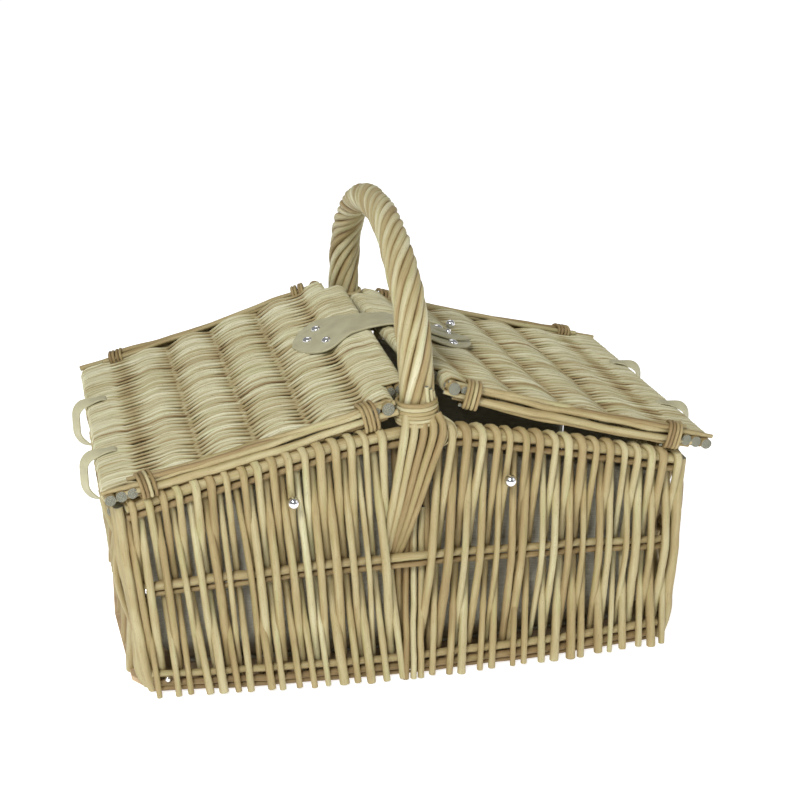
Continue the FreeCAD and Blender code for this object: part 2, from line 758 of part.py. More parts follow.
def gable_cutter():
    """Everything above the lining's top hem, which runs parallel to the rim."""
    far = RIM_HALF_LENGTH + 40
    drop = LINING_DROP
    ring = [
        V(-far, -300, rim_height(far) - drop),
        V(0, -300, RIM_MIDDLE_HEIGHT - drop),
        V(far, -300, rim_height(far) - drop),
        V(far, -300, 400),
        V(-far, -300, 400),
    ]
    return prism(ring, V(0, 600, 0))


def build_lining():
    floor_z = PANEL_THICK + CLEAR
    shell = lining_block(LINING_OFFSET, floor_z)
    inside = lining_block(LINING_OFFSET + LINING_THICK, floor_z)
    walls = shell.cut(inside).cut(gable_cutter())
    floor_size = outline(
        BASE_HALF_LENGTH - LINING_OFFSET - LINING_THICK - CLEAR,
        BASE_HALF_WIDTH - LINING_OFFSET - LINING_THICK - CLEAR,
        BASE_BOW,
        floor_z,
    )
    save("lining_floor", [Part.Face(floor_size).extrude(V(0, 0, LINING_THICK))])
    # The end panels are flat; the front and rear panels turn the corners to meet them.
    seam_y = BASE_HALF_WIDTH - LINING_OFFSET - LINING_THICK - 1.0
    seam = 0.2
    front = Part.makeBox(600, 60, 300, V(-300, -seam_y - seam - 60, 0))
    save("lining_front", walls.common(front).Solids)
    save("lining_rear", walls.common(front.mirror(V(0, 0, 0), V(0, 1, 0))).Solids)
    end = Part.makeBox(300, 2 * seam_y, 300, V(0, -seam_y, 0))
    save("lining_right", walls.common(end).Solids)
    save("lining_left", walls.common(end.mirror(V(0, 0, 0), V(1, 0, 0))).Solids)


# ---- all of it ------------------------------------------------------------------------
def main():
    build_base()
    build_bands()
    build_rims()
    build_posts()
    build_stakes()
    build_handle()
    build_handle_feet()
    build_lids()
    patch = build_strap()
    build_studs(patch)
    build_loops()
    build_lining()
    os.makedirs("parts", exist_ok=True)
    for name, solids in ALL.items():
        shape = solids[0] if len(solids) == 1 else Part.makeCompound(solids)
        shape.exportStep("parts/" + name + ".step")
        box = shape.BoundBox
        sizes = (box.XMin, box.XMax, box.YMin, box.YMax, box.ZMin, box.ZMax)
        valid = all(s.isValid() and s.Volume > 0 for s in solids)
        print(name, len(solids), "valid" if valid else "INVALID", ["%.1f" % v for v in sizes])


main()
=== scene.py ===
"""Double-lidded willow picnic basket: the looks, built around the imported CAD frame."""
import math
import bpy
import numpy as np
from mathutils import Matrix, Vector


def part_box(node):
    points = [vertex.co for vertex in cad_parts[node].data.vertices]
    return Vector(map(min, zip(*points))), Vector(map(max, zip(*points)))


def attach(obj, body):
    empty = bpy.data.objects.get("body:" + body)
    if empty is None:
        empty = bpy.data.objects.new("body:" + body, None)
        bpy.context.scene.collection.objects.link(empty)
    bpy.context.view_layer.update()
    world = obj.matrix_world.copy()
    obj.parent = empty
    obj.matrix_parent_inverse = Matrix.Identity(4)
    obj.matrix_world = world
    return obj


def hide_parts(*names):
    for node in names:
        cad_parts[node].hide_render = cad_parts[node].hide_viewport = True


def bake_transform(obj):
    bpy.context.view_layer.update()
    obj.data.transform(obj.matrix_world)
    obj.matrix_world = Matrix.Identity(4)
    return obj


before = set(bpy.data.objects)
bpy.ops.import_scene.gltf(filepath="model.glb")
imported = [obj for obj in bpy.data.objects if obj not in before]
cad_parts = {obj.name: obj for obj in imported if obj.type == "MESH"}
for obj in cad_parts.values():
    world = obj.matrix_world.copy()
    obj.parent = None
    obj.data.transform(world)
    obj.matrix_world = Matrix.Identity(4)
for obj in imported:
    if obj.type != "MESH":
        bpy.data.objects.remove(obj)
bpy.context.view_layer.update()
MM = 1000.0  # millimetres in a metre: shapes are worked out in millimetres
rng = np.random.default_rng(41)


# ---- places taken from the frame ------------------------------------------------------
def box_mm(node):
    low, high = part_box(node)
    return np.array(low) * MM, np.array(high) * MM


ROD_END_GAP = 13.0
CAD_BAND_R = 2.5
CAD_BAND_PITCH = 7.2
BASE_BOW = 15.0
CORE_R = 8.4
END_ROD_R = 4.0
INNER_ROD_R = 4.8

low, high = box_mm("right_rim_rod")
RIM_X = (low[0] + high[0]) / 2
END_RIM_Z = (low[2] + high[2]) / 2
RIM_ROD_R = (high[2] - low[2]) / 2
RIM_HALF_WIDTH = high[1] + ROD_END_GAP
low, high = box_mm("front_rim_rods")
RIM_BOW = -low[1] - RIM_ROD_R - RIM_HALF_WIDTH
RIM_MIDDLE_Z = high[2] - RIM_ROD_R
GABLE_SLOPE = (RIM_MIDDLE_Z - low[2] - RIM_ROD_R) / (RIM_X - ROD_END_GAP)
low, high = box_mm("base_panel")
BASE_X = high[0] - CAD_BAND_R
BASE_HALF_WIDTH = high[1] - CAD_BAND_R - BASE_BOW
PANEL_TOP = high[2]
low, high = box_mm("mid_band_rods")
MID_END_Z = low[2] + CAD_BAND_R + CAD_BAND_PITCH / 2
MID_RISE = high[2] - CAD_BAND_R - CAD_BAND_PITCH / 2 - MID_END_Z
low, high = box_mm("handle_core")
HANDLE_TOP = high[2] - CORE_R
HANDLE_SPAN = high[1] - CORE_R
HANDLE_FOOT_Z = low[2]
STUD = box_mm("keeper_stud")


# ---- curves ---------------------------------------------------------------------------
def smooth_curve(points, step=3.5):
    """A smooth curve through the points, sampled about every step."""
    p = np.asarray(points, float)
    q = np.vstack([2 * p[0] - p[1], p, 2 * p[-1] - p[-2]])
    out = []
    for a, b, c, d in zip(q, q[1:], q[2:], q[3:]):
        count = max(2, int(np.linalg.norm(c - b) / step))
        t = np.linspace(0, 1, count, endpoint=False)[:, None]
        curve = 2 * b + (c - a) * t + (2 * a - 5 * b + 4 * c - d) * t**2
        out.append(0.5 * (curve + (3 * b - a - 3 * c + d) * t**3))
    return np.vstack(out + [p[-1:]])


def rounded_path(corners, radii, step=3.0):
    """Straight runs between the corners, joined by tangent arcs of the given radii."""
    c = np.asarray(corners, float)
    out = [c[0]]
    for before, corner, after, radius in zip(c, c[1:], c[2:], radii):
        back = (before - corner) / np.linalg.norm(before - corner)
        ahead = (after - corner) / np.linalg.norm(after - corner)
        half = math.acos(np.clip(back @ ahead, -1, 1)) / 2
        reach = radius / math.tan(half)
        inward = (back + ahead) / np.linalg.norm(back + ahead)
        centre = corner + inward * radius / math.sin(half)
        start = corner + back * reach - centre
        end = corner + ahead * reach - centre
        turn = math.pi - 2 * half
        count = max(4, int(turn * radius / step))
        for f in np.linspace(0, 1, count):
            weight = (math.sin((1 - f) * turn), math.sin(f * turn))
            out.append(centre + (start * weight[0] + end * weight[1]) / math.sin(turn))
    out.append(c[-1])
    return evenly(np.array(out), step)


def lengths(path):
    steps = np.linalg.norm(np.diff(path, axis=0), axis=1)
    return np.concatenate([[0], np.cumsum(steps)])


def evenly(path, step):
    s = lengths(path)
    at = np.linspace(0, s[-1], max(3, int(s[-1] / step)))
    return np.stack([np.interp(at, s, path[:, k]) for k in range(3)], 1)


def unit(v):
    return v / np.maximum(np.linalg.norm(v, axis=-1, keepdims=True), 1e-9)


def ripple(s, size, wave):
    """A smooth random wander of about that size, over lengths of about that wave."""
    total = np.zeros_like(s, dtype=float)
    for share in (1.0, 0.55, 0.3):
        phase = rng.uniform(0, math.tau)
        total += share * np.sin(math.tau * s * rng.uniform(0.7, 1.3) / (wave * share) + phase)
    return total * size / 1.4


# ---- meshes ---------------------------------------------------------------------------
class Piece:
    """Gathers lofted shapes, in millimetres, into one mesh object with its attributes."""

    def __init__(self):
        self.points = []
        self.grain = []
        self.tone = []
        self.cut = []
        self.corners = []
        self.sizes = []
        self.count = 0

    def add_points(self, points, grain, tone, cut):
        start = self.count
        self.points.append(points)
        self.grain.append(grain)
        self.tone.append(np.zeros(len(points)) + tone)
        self.cut.append(np.full(len(points), cut))
        self.count += len(points)
        return start

    def add_faces(self, faces):
        self.corners.append(faces.ravel())
        self.sizes.append(np.full(len(faces), faces.shape[1]))

    def loft(self, rings, grain, tone, closed=False):
        """Joins rings of points one after another, and closes the two ends."""
        n, m = rings.shape[:2]
        tone = np.zeros((n, m)) + tone
        start = self.add_points(rings.reshape(-1, 3), grain.reshape(-1, 3), tone.ravel(), 0.0)
        row = np.arange(n if closed else n - 1)[:, None]
        after = (row + 1) % n
        j = np.arange(m)[None, :]
        nxt = (j + 1) % m
        quads = np.stack([row * m + j, row * m + nxt, after * m + nxt, after * m + j], -1)
        self.add_faces(start + quads.reshape(-1, 4))
        if not closed:
            self.cap(rings[0], grain[0], rings[0] - rings[1], tone[0].mean(), True)
            self.cap(rings[-1], grain[-1], rings[-1] - rings[-2], tone[-1].mean(), False)

    def slab(self, rings, grain):
        """Joins rings that each run out along one face and back along the other, as one closed skin."""
        n, m = rings.shape[:2]
        start = self.add_points(rings.reshape(-1, 3), grain.reshape(-1, 3), 0.5, 0.0)
        row = np.arange(n - 1)[:, None]
        j = np.arange(m)[None, :]
        nxt = (j + 1) % m
        quads = np.stack([row * m + j, row * m + nxt, (row + 1) * m + nxt, (row + 1) * m + j], -1)
        self.add_faces(start + quads.reshape(-1, 4)[:, ::-1])
        j = np.arange(m // 2 - 1)
        first = np.stack([j, j + 1, m - 2 - j, m - 1 - j], -1)
        self.add_faces(start + first)
        self.add_faces(start + (n - 1) * m + first[:, ::-1])

    def cap(self, ring, grain, outward, tone, flip):
        m = len(ring)
        centre = ring.mean(0)
        radius = np.linalg.norm(ring - centre, axis=1).min()
        push = unit(outward.mean(0)) * radius
        inner = centre + (ring - centre) * 0.86 + push * 0.10
        tip = centre[None] + push * 0.14
        middle = grain.mean(0)
        grains = np.vstack([grain, middle + (grain - middle) * 0.86, middle[None]])
        start = self.add_points(np.vstack([ring, inner, tip]), grains, tone, 1.0)
        j = np.arange(m)
        nxt = (j + 1) % m
        quads = np.stack([j, nxt, m + nxt, m + j], -1)
        fans = np.stack([m + j, m + nxt, np.full(m, 2 * m)], -1)
        if flip:
            quads, fans = quads[:, ::-1], fans[:, ::-1]
        self.add_faces(start + quads)
        self.add_faces(start + fans)

    def rod(self, path, radius, side, flat=1.0, tone=0.5, sides=10, knobbly=0.03, shade=0.14):
        """A willow rod along a path. radius and tone may be one number or one for each point.
        side is the direction across the path. flat is the thickness as a share of the width.
        shade is how much browner the rod is painted along its two sides, as painted shade where
        neighbouring rods shade it."""
        path = np.asarray(path, float)
        s = lengths(path)
        tangent = unit(np.gradient(path, axis=0))
        across = np.broadcast_to(np.asarray(side, float), path.shape)
        across = unit(across - (across * tangent).sum(1, keepdims=True) * tangent)
        up = np.cross(tangent, across)
        wide = np.broadcast_to(np.asarray(radius, float), s.shape)
        wide = wide * (1 + ripple(s, knobbly, 38.0))
        thick = wide * np.asarray(flat, float)
        angle = np.linspace(0, math.tau, sides, endpoint=False) + rng.uniform(0, 1)
        shape = 1 + 0.035 * np.sin(2 * angle + rng.uniform(0, math.tau))
        cos, sin = np.cos(angle) * shape, np.sin(angle) * shape
        ring = across[:, None] * (wide[:, None] * cos)[..., None]
        ring = ring + up[:, None] * (thick[:, None] * sin)[..., None]
        rings = path[:, None] + ring
        along = np.broadcast_to((s + rng.uniform(0, 9000))[:, None], rings.shape[:2])
        grain = np.stack([along, wide[:, None] * cos, thick[:, None] * sin], -1)
        # painted shade: the two sides of each ring are darkened to stand in for shade between neighbouring
        # rods
        sides_shade = shade * np.abs(np.cos(angle)) ** 4
        tones = np.broadcast_to(np.asarray(tone, float), s.shape)[:, None] - sides_shade
        self.loft(rings, grain, np.clip(tones, 0, 1))

    def make(self, name, material, body, slot, replaced=()):
        points = np.vstack(self.points) / MM
        corners = np.concatenate(self.corners).astype(np.int32)
        sizes = np.concatenate(self.sizes).astype(np.int32)
        mesh = bpy.data.meshes.new(name)
        mesh.vertices.add(len(points))
        mesh.vertices.foreach_set("co", points.astype(np.float32).ravel())
        mesh.loops.add(len(corners))
        mesh.loops.foreach_set("vertex_index", corners)
        mesh.polygons.add(len(sizes))
        starts = np.concatenate([[0], np.cumsum(sizes)[:-1]]).astype(np.int32)
        mesh.polygons.foreach_set("loop_start", starts)
        mesh.polygons.foreach_set("use_smooth", np.ones(len(sizes), bool))
        mesh.update(calc_edges=True)
        mesh.validate()
        grain = mesh.attributes.new("grain", "FLOAT_VECTOR", "POINT")
        grain.data.foreach_set("vector", np.vstack(self.grain).astype(np.float32).ravel())
        for label, values in (("tone", self.tone), ("cut", self.cut)):
            attribute = mesh.attributes.new(label, "FLOAT", "POINT")
            attribute.data.foreach_set("value", np.concatenate(values).astype(np.float32))
        return place_object(name, mesh, material, body, replaced)

    def willow(self, name, node, body="basket"):
        """Finishes a piece of willow that stands for one CAD node."""
        self.make(name, WILLOW, body, "willow", [node])


def place_object(name, mesh, material, body, replaced):
    """Links a finished mesh into the scene. What becomes of a piece with no body is its caller's job."""
    piece = bpy.data.objects.new(name, mesh)
    bpy.context.scene.collection.objects.link(piece)
    mesh.materials.append(material)
    if body:
        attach(piece, body)
    if replaced:
        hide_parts(*replaced)
    return piece


# ---- materials ------------------------------------------------------------------------
class Nodes:
    """Short ways to build a node material."""

    def __init__(self, name):
        self.material = bpy.data.materials.new(name)
        self.material.use_nodes = True
        self.tree = self.material.node_tree
        self.shader = self.tree.nodes["Principled BSDF"]

    def add(self, kind, inputs=(), **settings):
        made = self.tree.nodes.new(kind)
        for key, value in settings.items():
            setattr(made, key, value)
        for key, value in dict(inputs).items():
            self.put(made.inputs[key], value)
        return made

    def put(self, socket, value):
        if isinstance(value, bpy.types.NodeSocket):
            self.tree.links.new(value, socket)
        else:
            socket.default_value = value

    def attribute(self, name, output):
        made = self.add("ShaderNodeAttribute", attribute_name=name)
        return made.outputs[output]

    def scaled(self, vector, scale):
        made = self.add("ShaderNodeVectorMath", {0: vector, 1: scale}, operation="MULTIPLY")
        return made.outputs[0]

    def noise(self, vector, scale=1.0, detail=3.0, rough=0.55, distort=0.0):
        inputs = {"Vector": vector, "Scale": scale, "Detail": detail}
        inputs.update({"Roughness": rough, "Distortion": distort})
        return self.add("ShaderNodeTexNoise", inputs).outputs["Fac"]

    def math(self, operation, a, b=0.0, clamp=False):
        made = self.add("ShaderNodeMath", {0: a, 1: b}, operation=operation, use_clamp=clamp)
        return made.outputs[0]

    def linear(self, value, factor, shift):
        inputs = {0: value, 1: factor, 2: shift}
        return self.add("ShaderNodeMath", inputs, operation="MULTIPLY_ADD").outputs[0]

    def band(self, value, low, high, out_low=0.0, out_high=1.0):
        inputs = {"Value": value, "From Min": low, "From Max": high}
        inputs.update({"To Min": out_low, "To Max": out_high})
        return self.add("ShaderNodeMapRange", inputs, interpolation_type="SMOOTHSTEP").outputs[0]

    def ramp(self, value, stops):
        made = self.add("ShaderNodeValToRGB", {"Fac": value})
        line = made.color_ramp
        line.elements[0].position, line.elements[0].color = stops[0][0], (*stops[0][1], 1)
        line.elements[1].position, line.elements[1].color = stops[-1][0], (*stops[-1][1], 1)
        for place, colour in stops[1:-1]:
            line.elements.new(place).color = (*colour, 1)
        return made.outputs["Color"]

    def mix(self, factor, a, b, blend="MIX"):
        made = self.add("ShaderNodeMix", data_type="RGBA", blend_type=blend)
        for socket, value in zip((made.inputs[0], made.inputs[6], made.inputs[7]), (factor, a, b)):
            self.put(socket, value)
        return made.outputs[2]

    def bump(self, height, distance, strength):
        inputs = {"Height": height, "Distance": distance, "Strength": strength}
        return self.add("ShaderNodeBump", inputs).outputs["Normal"]

    def finish(self, **values):
        for key, value in values.items():
            self.put(self.shader.inputs[key.replace("_", " ")], value)
        return self.material


WILLOW_STOPS = (
    (0.0, (0.125, 0.078, 0.030)),
    (0.25, (0.27, 0.185, 0.080)),
    (0.5, (0.40, 0.315, 0.150)),
    (0.75, (0.53, 0.480, 0.280)),
    (1.0, (0.76, 0.735, 0.52)),
)


def willow_material():
    """Buff willow: tones from brown to pale straw, long streaks, dark specks and grey cut ends."""
    n = Nodes("willow")
    grain = n.attribute("grain", "Vector")
    # tone holds each rod's own shade of willow, plus the painted shade along rod sides and in the lid
    # valleys
    tone = n.attribute("tone", "Fac")
    cut = n.attribute("cut", "Fac")
    streaks = n.noise(n.scaled(grain, (0.02, 1.1, 1.1)), 1.0, 4.0)
    patches = n.noise(n.scaled(grain, (0.022, 0.12, 0.12)), 1.0, 2.0)
    fine = n.noise(n.scaled(grain, (0.09, 3.2, 3.2)), 1.0, 3.0)
    shift = n.linear(streaks, 0.34, -0.17)
    blotch = n.linear(patches, 0.5, -0.25)
    value = n.math("ADD", n.math("ADD", tone, shift), blotch, clamp=True)
    colour = n.ramp(value, WILLOW_STOPS)
    green = n.band(n.noise(n.scaled(grain, (0.03, 0.3, 0.3)), 1.0, 1.0), 0.5, 0.72, 0.0, 0.55)
    colour = n.mix(green, colour, (0.86, 0.95, 0.80, 1), "MULTIPLY")
    colour = n.mix(n.band(fine, 0.3, 0.52, 0.30, 0.0), colour, (0.50, 0.36, 0.20, 1), "MULTIPLY")
    cells = n.add("ShaderNodeTexVoronoi", {"Vector": n.scaled(grain, (0.045, 0.19, 0.19))})
    knots = n.band(cells.outputs["Distance"], 0.07, 0.16, 1.0, 0.0)
    colour = n.mix(n.math("MULTIPLY", knots, 0.85), colour, (0.17, 0.09, 0.035, 1))
    specks = n.add("ShaderNodeTexVoronoi", {"Vector": n.scaled(grain, (0.16, 0.42, 0.42))})
    specks = n.band(specks.outputs["Distance"], 0.05, 0.11, 0.7, 0.0)
    chosen = n.band(n.noise(n.scaled(grain, (0.01, 0.1, 0.1)), 1.0, 1.0), 0.5, 0.58)
    colour = n.mix(n.math("MULTIPLY", specks, chosen), colour, (0.12, 0.07, 0.03, 1))
    apart = n.add("ShaderNodeSeparateXYZ", {0: grain})
    across = n.add("ShaderNodeCombineXYZ", {1: apart.outputs[1], 2: apart.outputs[2]}).outputs[0]
    radius = n.add("ShaderNodeVectorMath", {0: across}, operation="LENGTH").outputs["Value"]
    pith = n.noise(across, 1.3, 4.0)
    rings = n.math("SINE", n.linear(radius, 5.5, 0.4))
    end_tone = n.math("ADD", n.math("MULTIPLY", rings, 0.10), pith)
    end_stops = ((0.3, (0.09, 0.085, 0.055)), (0.55, (0.24, 0.24, 0.185)), (0.8, (0.44, 0.44, 0.36)))
    colour = n.mix(cut, colour, n.ramp(end_tone, end_stops))
    height = n.math("ADD", streaks, n.math("MULTIPLY", fine, 0.6))
    height = n.math("SUBTRACT", height, n.math("MULTIPLY", knots, 0.8))
    rough = n.band(streaks, 0.2, 0.8, 0.46, 0.66)
    rough = n.math("ADD", rough, n.math("MULTIPLY", cut, 0.25), clamp=True)
    normal = n.bump(height, 0.0004, 0.55)
    return n.finish(Base_Color=colour, Roughness=rough, Normal=normal, Specular_IOR_Level=0.35)


def plywood_material():
    n = Nodes("plywood")
    place = n.add("ShaderNodeTexCoord").outputs["Object"]
    figure = n.noise(n.scaled(place, (5.0, 60.0, 60.0)), 1.0, 5.0, 0.6, 0.6)
    pores = n.noise(n.scaled(place, (60.0, 900.0, 900.0)), 1.0, 2.0)
    colour = n.ramp(figure, ((0.3, (0.42, 0.29, 0.16)), (0.7, (0.62, 0.48, 0.30))))
    colour = n.mix(n.band(pores, 0.3, 0.45, 0.4, 0.0), colour, (0.55, 0.42, 0.28, 1), "MULTIPLY")
    return n.finish(Base_Color=colour, Roughness=0.7, Normal=n.bump(pores, 0.0002, 0.5))


def leather_material():
    """Smooth greige leather with a fine pebble, soft mottling and darker, raw edges."""
    n = Nodes("leather")
    place = n.attribute("grain", "Vector")
    edge = n.attribute("cut", "Fac")
    pebble = n.add("ShaderNodeTexVoronoi", {"Vector": place, "Scale": 1.6}, feature="DISTANCE_TO_EDGE")
    pebble = n.band(pebble.outputs["Distance"], 0.0, 0.16)
    cloud = n.noise(place, 0.07, 3.0)
    stops = ((0.3, (0.43, 0.40, 0.255)), (0.55, (0.50, 0.475, 0.30)), (0.8, (0.56, 0.535, 0.36)))
    colour = n.ramp(cloud, stops)
    colour = n.mix(n.math("MULTIPLY", pebble, -0.12), colour, (0.30, 0.27, 0.2, 1))
    colour = n.mix(n.math("MULTIPLY", edge, 0.55), colour, (0.26, 0.22, 0.14, 1))
    normal = n.bump(n.math("ADD", pebble, n.noise(place, 3.5, 2.0)), 0.00012, 0.5)
    return n.finish(Base_Color=colour, Roughness=0.5, Normal=normal)


THREAD_PITCH = 0.9


def lining_material():
    """Plain grey cloth: crossed threads, with a paler warp."""
    n = Nodes("lining")
    place = n.attribute("grain", "Vector")
    apart = n.add("ShaderNodeSeparateXYZ", {0: place})
    turns = [n.math("MULTIPLY", apart.outputs[k], math.tau / THREAD_PITCH) for k in (0, 1)]
    weave = n.math("MULTIPLY", *(n.math("SINE", turn) for turn in turns))
    slub = n.noise(n.scaled(place, (0.08, 1.2, 1.0)), 1.0, 3.0)
    value = n.math("ADD", n.math("MULTIPLY", weave, 0.12), slub)
    colour = n.ramp(value, ((0.3, (0.42, 0.40, 0.32)), (0.7, (0.64, 0.62, 0.51))))
    return n.finish(Base_Color=colour, Roughness=0.9, Normal=n.bump(weave, 0.0002, 0.6))


def chrome_material():
    n = Nodes("chrome")
    place = n.add("ShaderNodeTexCoord").outputs["Object"]
    wear = n.noise(place, 700.0, 3.0)
    colour = n.ramp(wear, ((0.35, (0.78, 0.79, 0.80)), (0.65, (0.90, 0.90, 0.91))))
    rough = n.band(wear, 0.4, 0.75, 0.05, 0.16)
    return n.finish(Base_Color=colour, Metallic=1.0, Roughness=rough)


WILLOW = willow_material()
LEATHER = leather_material()
LINING = lining_material()
CHROME = chrome_material()
PLYWOOD = plywood_material()

# ---- the wall surface -----------------------------------------------------------------
STAKE_R = 2.95
FOOT_OFFSET = 8.8
WEAVE_OFFSET = 7.5
HOOK_OFFSET = 6.9
STAKE_PITCH = 11.7
LOOP_PLACES = (-6 * STAKE_PITCH, 4 * STAKE_PITCH)
HANDLE_STAKE_GAP = 24.0
STAKES_PER_SIDE = 17
TOP_SHIFT = -4.5  # the rim stands this far to the left of the base
RIM_SWELL = {-1: 5.6, 1: 5.0}  # how far each half of the front rim arches above a straight line
X_AXIS, Y_AXIS, Z_AXIS = np.eye(3)


def arch(x, half, rise):
    radius = (half * half + rise * rise) / (2 * rise)
    return np.sqrt(radius * radius - x * x) - (radius - rise)


def rim_height(x):
    return RIM_MIDDLE_Z - GABLE_SLOPE * np.abs(x)


def rim_top(x, sign):
    """Height of the thick rim rod: sign is -1 for the front wall and 1 for the rear wall."""
    x = np.asarray(x, float)
    share = np.clip(np.abs(x) / RIM_X, 0, 1)
    right = np.clip(x / RIM_X, 0, 1)
    if sign < 0:
        swell = np.where(x > 0, RIM_SWELL[1], RIM_SWELL[-1])
        return rim_height(x) + swell * np.sin(math.pi * share**0.8) + 2.0 * right
    return rim_height(x) - 5.0 * right


def mid_height(x):
    share = x / RIM_X
    return MID_END_Z + MID_RISE * (1 - share * share)


def front_lean(x):
    """How far the foot of a stake of a long wall stands aside of its head, along X."""
    near = 1 - abs(x) / RIM_X
    return 10.0 * near if x < 0 else -26.0 * near * near


def end_wall(y, z, offset):
    """A point of the right end wall."""
    t = z / END_RIM_Z
    return np.stack([BASE_X + (RIM_X - BASE_X) * t + offset + TOP_SHIFT * t, y + 0 * z, z + 0 * y], -1)


def end_rim(y, side):
    """Height of the thick rim rod of an end wall. The right one dips a little to the rear."""
    return END_RIM_Z - (1.5 + 3.5 * np.asarray(y, float) / RIM_HALF_WIDTH) * (side > 0)


def left_wall(y, z, offset):
    point = end_wall(y, z, offset)
    point[..., 0] = -point[..., 0] + 2 * TOP_SHIFT * z / END_RIM_Z
    return point


def straight_front(x, z, offset):
    """A point of the front wall with no lean, for the rods that run along it."""
    t = z / rim_height(x)
    width = BASE_HALF_WIDTH + (RIM_HALF_WIDTH - BASE_HALF_WIDTH) * t
    half = BASE_X + (RIM_X - BASE_X) * t
    bow = arch(x * half / RIM_X, half, BASE_BOW + (RIM_BOW - BASE_BOW) * t)
    return np.stack([x * half / RIM_X + TOP_SHIFT * t, -(width + bow + offset), z], -1)


def long_wall(x, z, offset, sign):
    """A point of the front wall (sign -1) or the rear wall (sign 1)."""
    point = straight_front(x, z, offset)
    point[..., 1] *= -sign
    return point


def wall_at_end(sign):
    return end_wall if sign > 0 else left_wall


def woven(z, heights, values):
    """Straight from one value to the next between the heights, with rounded turns."""
    taps = np.linspace(-13, 13, 7)
    return np.mean([np.interp(z + tap, heights, values) for tap in taps], 0)


# ---- walls ----------------------------------------------------------------------------
def hairpin(piece, wall, along, place_in, place_out, rim_z, mid_z, tone):
    """One stake: up inside the bottom band, outside the mid band and inside the rim, over it,
    then down outside the rim, inside the mid band and outside the bottom band."""
    up = np.arange(PANEL_TOP + 1.0, rim_z, 4.0)
    down = np.append(np.arange(rim_z, 3.0, -4.0), rng.uniform(0.9, 3.4))
    heights = (0.0, mid_z, rim_z)
    off_up = woven(up, heights, (-FOOT_OFFSET, WEAVE_OFFSET, -HOOK_OFFSET))
    off_down = woven(down, heights, (FOOT_OFFSET, -WEAVE_OFFSET, HOOK_OFFSET))
    turn = np.linspace(math.pi, 0, 11)[1:-1]
    over_z = rim_z + HOOK_OFFSET * np.sin(turn)
    over_off = HOOK_OFFSET * np.cos(turn)
    over_place = place_in + (place_out - place_in) * (0.5 + 0.5 * np.cos(turn))
    foot_in, foot_out = rng.normal(0, 1.5, 2)
    bend_in, bend_out = rng.normal(0, 1.0, 2)
    wander_in = foot_in * (1 - up / rim_z) + bend_in * np.sin(math.pi * up / rim_z)
    wander_out = foot_out * (1 - down / rim_z) + bend_out * np.sin(math.pi * down / rim_z)
    parts = [
        wall(np.full(up.shape, place_in), up, off_up) + along * wander_in[:, None],
        np.array([wall(p, z, o) for p, z, o in zip(over_place, over_z, over_off)]),
        wall(np.full(down.shape, place_out), down, off_down) + along * wander_out[:, None],
    ]
    path = evenly(np.vstack(parts), 4.0)
    share = np.linspace(-1, 1, len(path)) * rng.choice((-1, 1))
    bent = np.clip((path[:, 2] - rim_z + 9.0) / 12.0, 0, 1)
    radius = STAKE_R * rng.uniform(0.84, 1.16) * (1 + 0.16 * share) * (1 + 0.08 * bent)
    radius = radius * np.clip(1.05 - 0.45 * np.exp(-(np.arange(len(path)) * 4.0) / 9.0), 0, 1)
    piece.rod(path, radius, along, 0.94 - 0.32 * bent, tone, 10, 0.045)


def stake_tone():
    return float(np.clip(rng.normal(0.56, 0.085), 0.3, 0.8))


def front_stakes(sign):
    piece = Piece()
    for k in range(STAKES_PER_SIDE):
        for place_in in (
            HANDLE_STAKE_GAP + k * STAKE_PITCH,
            -HANDLE_STAKE_GAP - (k + 0.5) * STAKE_PITCH,
        ):
            x_in = place_in + rng.normal(0, 0.6)
            x_out = place_in + STAKE_PITCH / 2 + rng.normal(0, 0.6)
            mid = (x_in + x_out) / 2
            top = float(rim_top(mid, sign))
            hairpin(piece, leaning_wall(sign, mid), X_AXIS, x_in, x_out, top, float(mid_height(mid)),
                    stake_tone())
    return piece


def leaning_wall(sign, x_side):
    """The front or rear wall for a rod on the side of x_side, whose foot stands aside of its head."""

    def place(x, z, offset):
        x = np.asarray(x, float)
        z = np.asarray(z, float)
        point = long_wall(x, z, offset, sign)
        point[..., 0] += front_lean(x_side) * np.clip(1 - z / rim_height(x), 0, 1)
        return point

    return place


def end_stakes(wall, side):
    piece = Piece()
    for k in range(-9, 10):
        centre = k * STAKE_PITCH
        if all(abs(centre - y) > STAKE_PITCH * 0.6 for y in LOOP_PLACES):
            y_in = centre - STAKE_PITCH / 4 + rng.normal(0, 0.5)
            y_out = centre + STAKE_PITCH / 4 + rng.normal(0, 0.5)
            top = float(end_rim(centre, side))
            hairpin(piece, wall, Y_AXIS, y_in, y_out, top, MID_END_Z, stake_tone())
    return piece


def make_stakes():
    for sign, name in ((-1, "front"), (1, "rear")):
        front_stakes(sign).willow(name + "_stakes", name + "_wall_stakes")
    for side, name in ((-1, "left"), (1, "right")):
        end_stakes(wall_at_end(side), side).willow(name + "_stakes", name + "_wall_stakes")


def along_front(height_at, offset, reach, sign):
    """The path of a rod that runs along the front or rear wall."""
    x = np.arange(-reach, reach, 5.0)
    z = height_at(x) + ripple(x, 0.4, 130.0)
    return long_wall(x, z, offset + ripple(x, 0.35, 90.0), sign)


def long_rods(piece, level, radius, tone, offset):
    """One rod along each of the four walls at a level of the bands."""
    reach = RIM_X - ROD_END_GAP + 5
    for sign in (-1, 1):
        path = along_front(level, offset, reach, sign)
        share = np.linspace(-1, 1, len(path)) * rng.choice((-1, 1))
        piece.rod(path, radius * (1 + 0.12 * share), Z_AXIS, 1.0, tone + rng.normal(0, 0.05), 12)
    reach = RIM_HALF_WIDTH - ROD_END_GAP + 2
    for sign in (-1, 1):
        y = np.arange(-reach, reach, 5.0)
        z = np.full(y.shape, float(level(np.array([RIM_X]))[0])) + ripple(y, 0.4, 120.0)
        path = wall_at_end(sign)(y, z, offset + ripple(y, 0.3, 80.0))
        piece.rod(path, radius, Z_AXIS, 1.0, tone + rng.normal(0, 0.05), 12)


